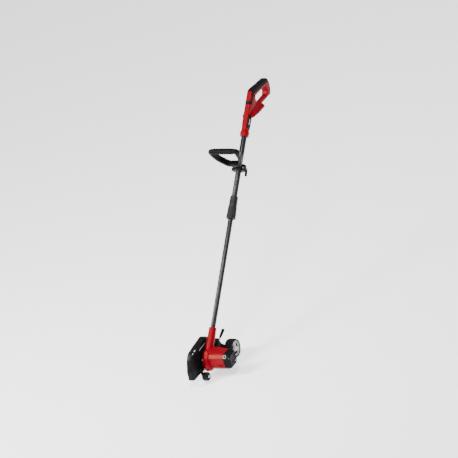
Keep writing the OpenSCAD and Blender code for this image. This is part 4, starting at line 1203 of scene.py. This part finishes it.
def build_depth():
    outline = fillet([(77, 79), (77, 114), (85, 122), (104, 122), (111, 115), (111, 79)], 2.5)
    plate = pillow(outline, GUARD_IN + 0.05, 0, 0, 1.2)
    pocket = fillet([(108.5, 82), (108.5, 108), (98, 108), (98, 103), (84, 103), (84, 94), (88, 82)], 1.5, 3)
    cut(plate, prism(pocket, GUARD_IN + 3, -4))
    bore(plate, -30, 5, *PIVOT, 5.06)
    show(plate, "depth_quadrant_skin", "lower_shaft", "black_plastic", BLACK, "depth_quadrant")
    arm = pillow(hull([(*PIVOT, 12), (*WHEEL, 9)], 40), 1, 5, 0.9, 0.9, 3)
    disc = pillow(hull([(*PIVOT, 18)], 64), 1, 5, 0.9, 0.9, 3)
    arm = add(arm, disc, rod(4, 8.6, *WHEEL, 7, 0.4, 40), rod(-23.5, 8.1, *PIVOT, 5, 0.5, 40))
    slot = hull([(113, 76, 3), (132, 59, 3)], 24)
    cut(arm, prism(slot, 3.6, 9))
    bore(arm, 0, 20, *WHEEL, 4.03)
    for a in (111, 123, 135):
        y = PIVOT[0] + 14 * math.cos(math.radians(a))
        z = PIVOT[1] + 14 * math.sin(math.radians(a))
        bore(arm, 0, 6, y, z, 1.9, 20)
    show(arm, "wheel_arm_skin", "wheel_arm", "arm_steel", ARM, "wheel_arm")
    slope = math.atan2(TIP[1] - KNEE[1], TIP[0] - KNEE[0])
    bar = shift(6.6, *KNEE) @ about("X", slope) @ about("X", -math.pi / 2)
    blade = pillow(hull([(*PIVOT, 9), (*KNEE, 5)], 40), 5.15, 8.1, 0.2, 0.7, 2)
    bore(blade, 4, 10, *PIVOT, 5.03)
    stalk = lathe(fillet([(0, -1, 0), (3.6, -1), (3.6, 58), (0, 58, 0)], 0.8, 3), bar, 32)
    show(add(blade, stalk), "depth_lever_skin", "wheel_arm", "arm_steel", ARM, "depth_lever")

    def knurl(r, z, a):
        if r < 5:
            return r
        middle = smoothstep(21, 24, z) * smoothstep(60, 57, z)
        return r - 0.7 * middle * (0.5 + 0.5 * math.cos(math.tau * z / 5)) ** 2

    steps = [19.5 + k * 0.7 for k in range(60)]
    outer = [(6.9 - 1.2 * smoothstep(40, 19, z) + 0.3 * smoothstep(50, 61, z), z, 0) for z in steps]
    profile = [(3.63, 18), (4.6, 18), *outer, (5.6, 63, 0.8), (3.6, 64, 0.8), (0, 64, 0), (0, 58.1, 0),
               (3.63, 58.1)]
    show(lathe(fillet(profile, 0.4, 2), bar, 40, knurl),
         "lever_grip_skin", "wheel_arm", "black_plastic", SOFT, "lever_grip")


build_housings()
build_end_cap()
build_head_screws()
build_guard()
build_blade()
build_roller()
build_wheel()
build_depth()


# ---------------------------------------------------------------- camera, light and floor


def look(obj, at, back, up):
    back = Vector(back).normalized()
    right = Vector(up).cross(back).normalized()
    up = back.cross(right)
    turn = Matrix((right, up, back)).transposed().to_4x4()
    obj.matrix_world = Matrix.Translation(at) @ turn


def add_camera():
    data = bpy.data.cameras.new("camera")
    camera = link("camera", data)
    distance = 30
    view_width = 2.024
    data.sensor_width = 36
    data.lens = 36 * distance / view_width
    data.clip_end = 100
    back = Vector((0.5, -0.75, 0.433))
    look(camera, to_row((0, 430, 488)) + back * distance, back, (0, 0.5, 0.866))
    bpy.context.scene.camera = camera


def area_light(name, at, target, size, power):
    data = bpy.data.lights.new(name, "AREA")
    data.shape = "RECTANGLE"
    data.size, data.size_y = size
    data.energy = power
    look(link(name, data), at, (at - target).normalized(), (0, 0, 1))


def add_world():
    world = bpy.data.worlds.new("studio")
    world.use_nodes = True
    background = world.node_tree.nodes["Background"]
    background.inputs["Color"].default_value = (1, 1, 1, 1)
    background.inputs["Strength"].default_value = 0.28
    bpy.context.scene.world = world


def add_floor():
    mesh = bpy.data.meshes.new("floor")
    half = 30
    corners = [(-half, -half, 0), (half, -half, 0), (half, half, 0), (-half, half, 0)]
    mesh.from_pydata(corners, [], [(0, 1, 2, 3)])
    floor = link("floor", mesh)
    material = bpy.data.materials.new("floor")
    material.use_nodes = True
    shader = material.node_tree.nodes["Principled BSDF"]
    shader.inputs["Base Color"].default_value = (0.9, 0.9, 0.9, 1)
    shader.inputs["Roughness"].default_value = 0.9
    shader.inputs["Emission Color"].default_value = (1, 1, 1, 1)
    shader.inputs["Emission Strength"].default_value = 1.25
    mesh.materials.append(material)


add_camera()
add_world()
add_floor()
middle = to_row((0, 430, 450))
area_light("key", middle + Vector((-1.9, -2.0, 2.3)), middle, (0.45, 1.8), 240)
area_light("strip", middle + Vector((0.8, -1.5, 2.9)), middle, (0.12, 2.4), 120)
area_light("fill", middle + Vector((3.4, -1.4, 1.6)), middle, (1.5, 2.2), 8)
area_light("rim", middle + Vector((0.5, 3.2, 2.6)), middle, (2.5, 1.0), 30)
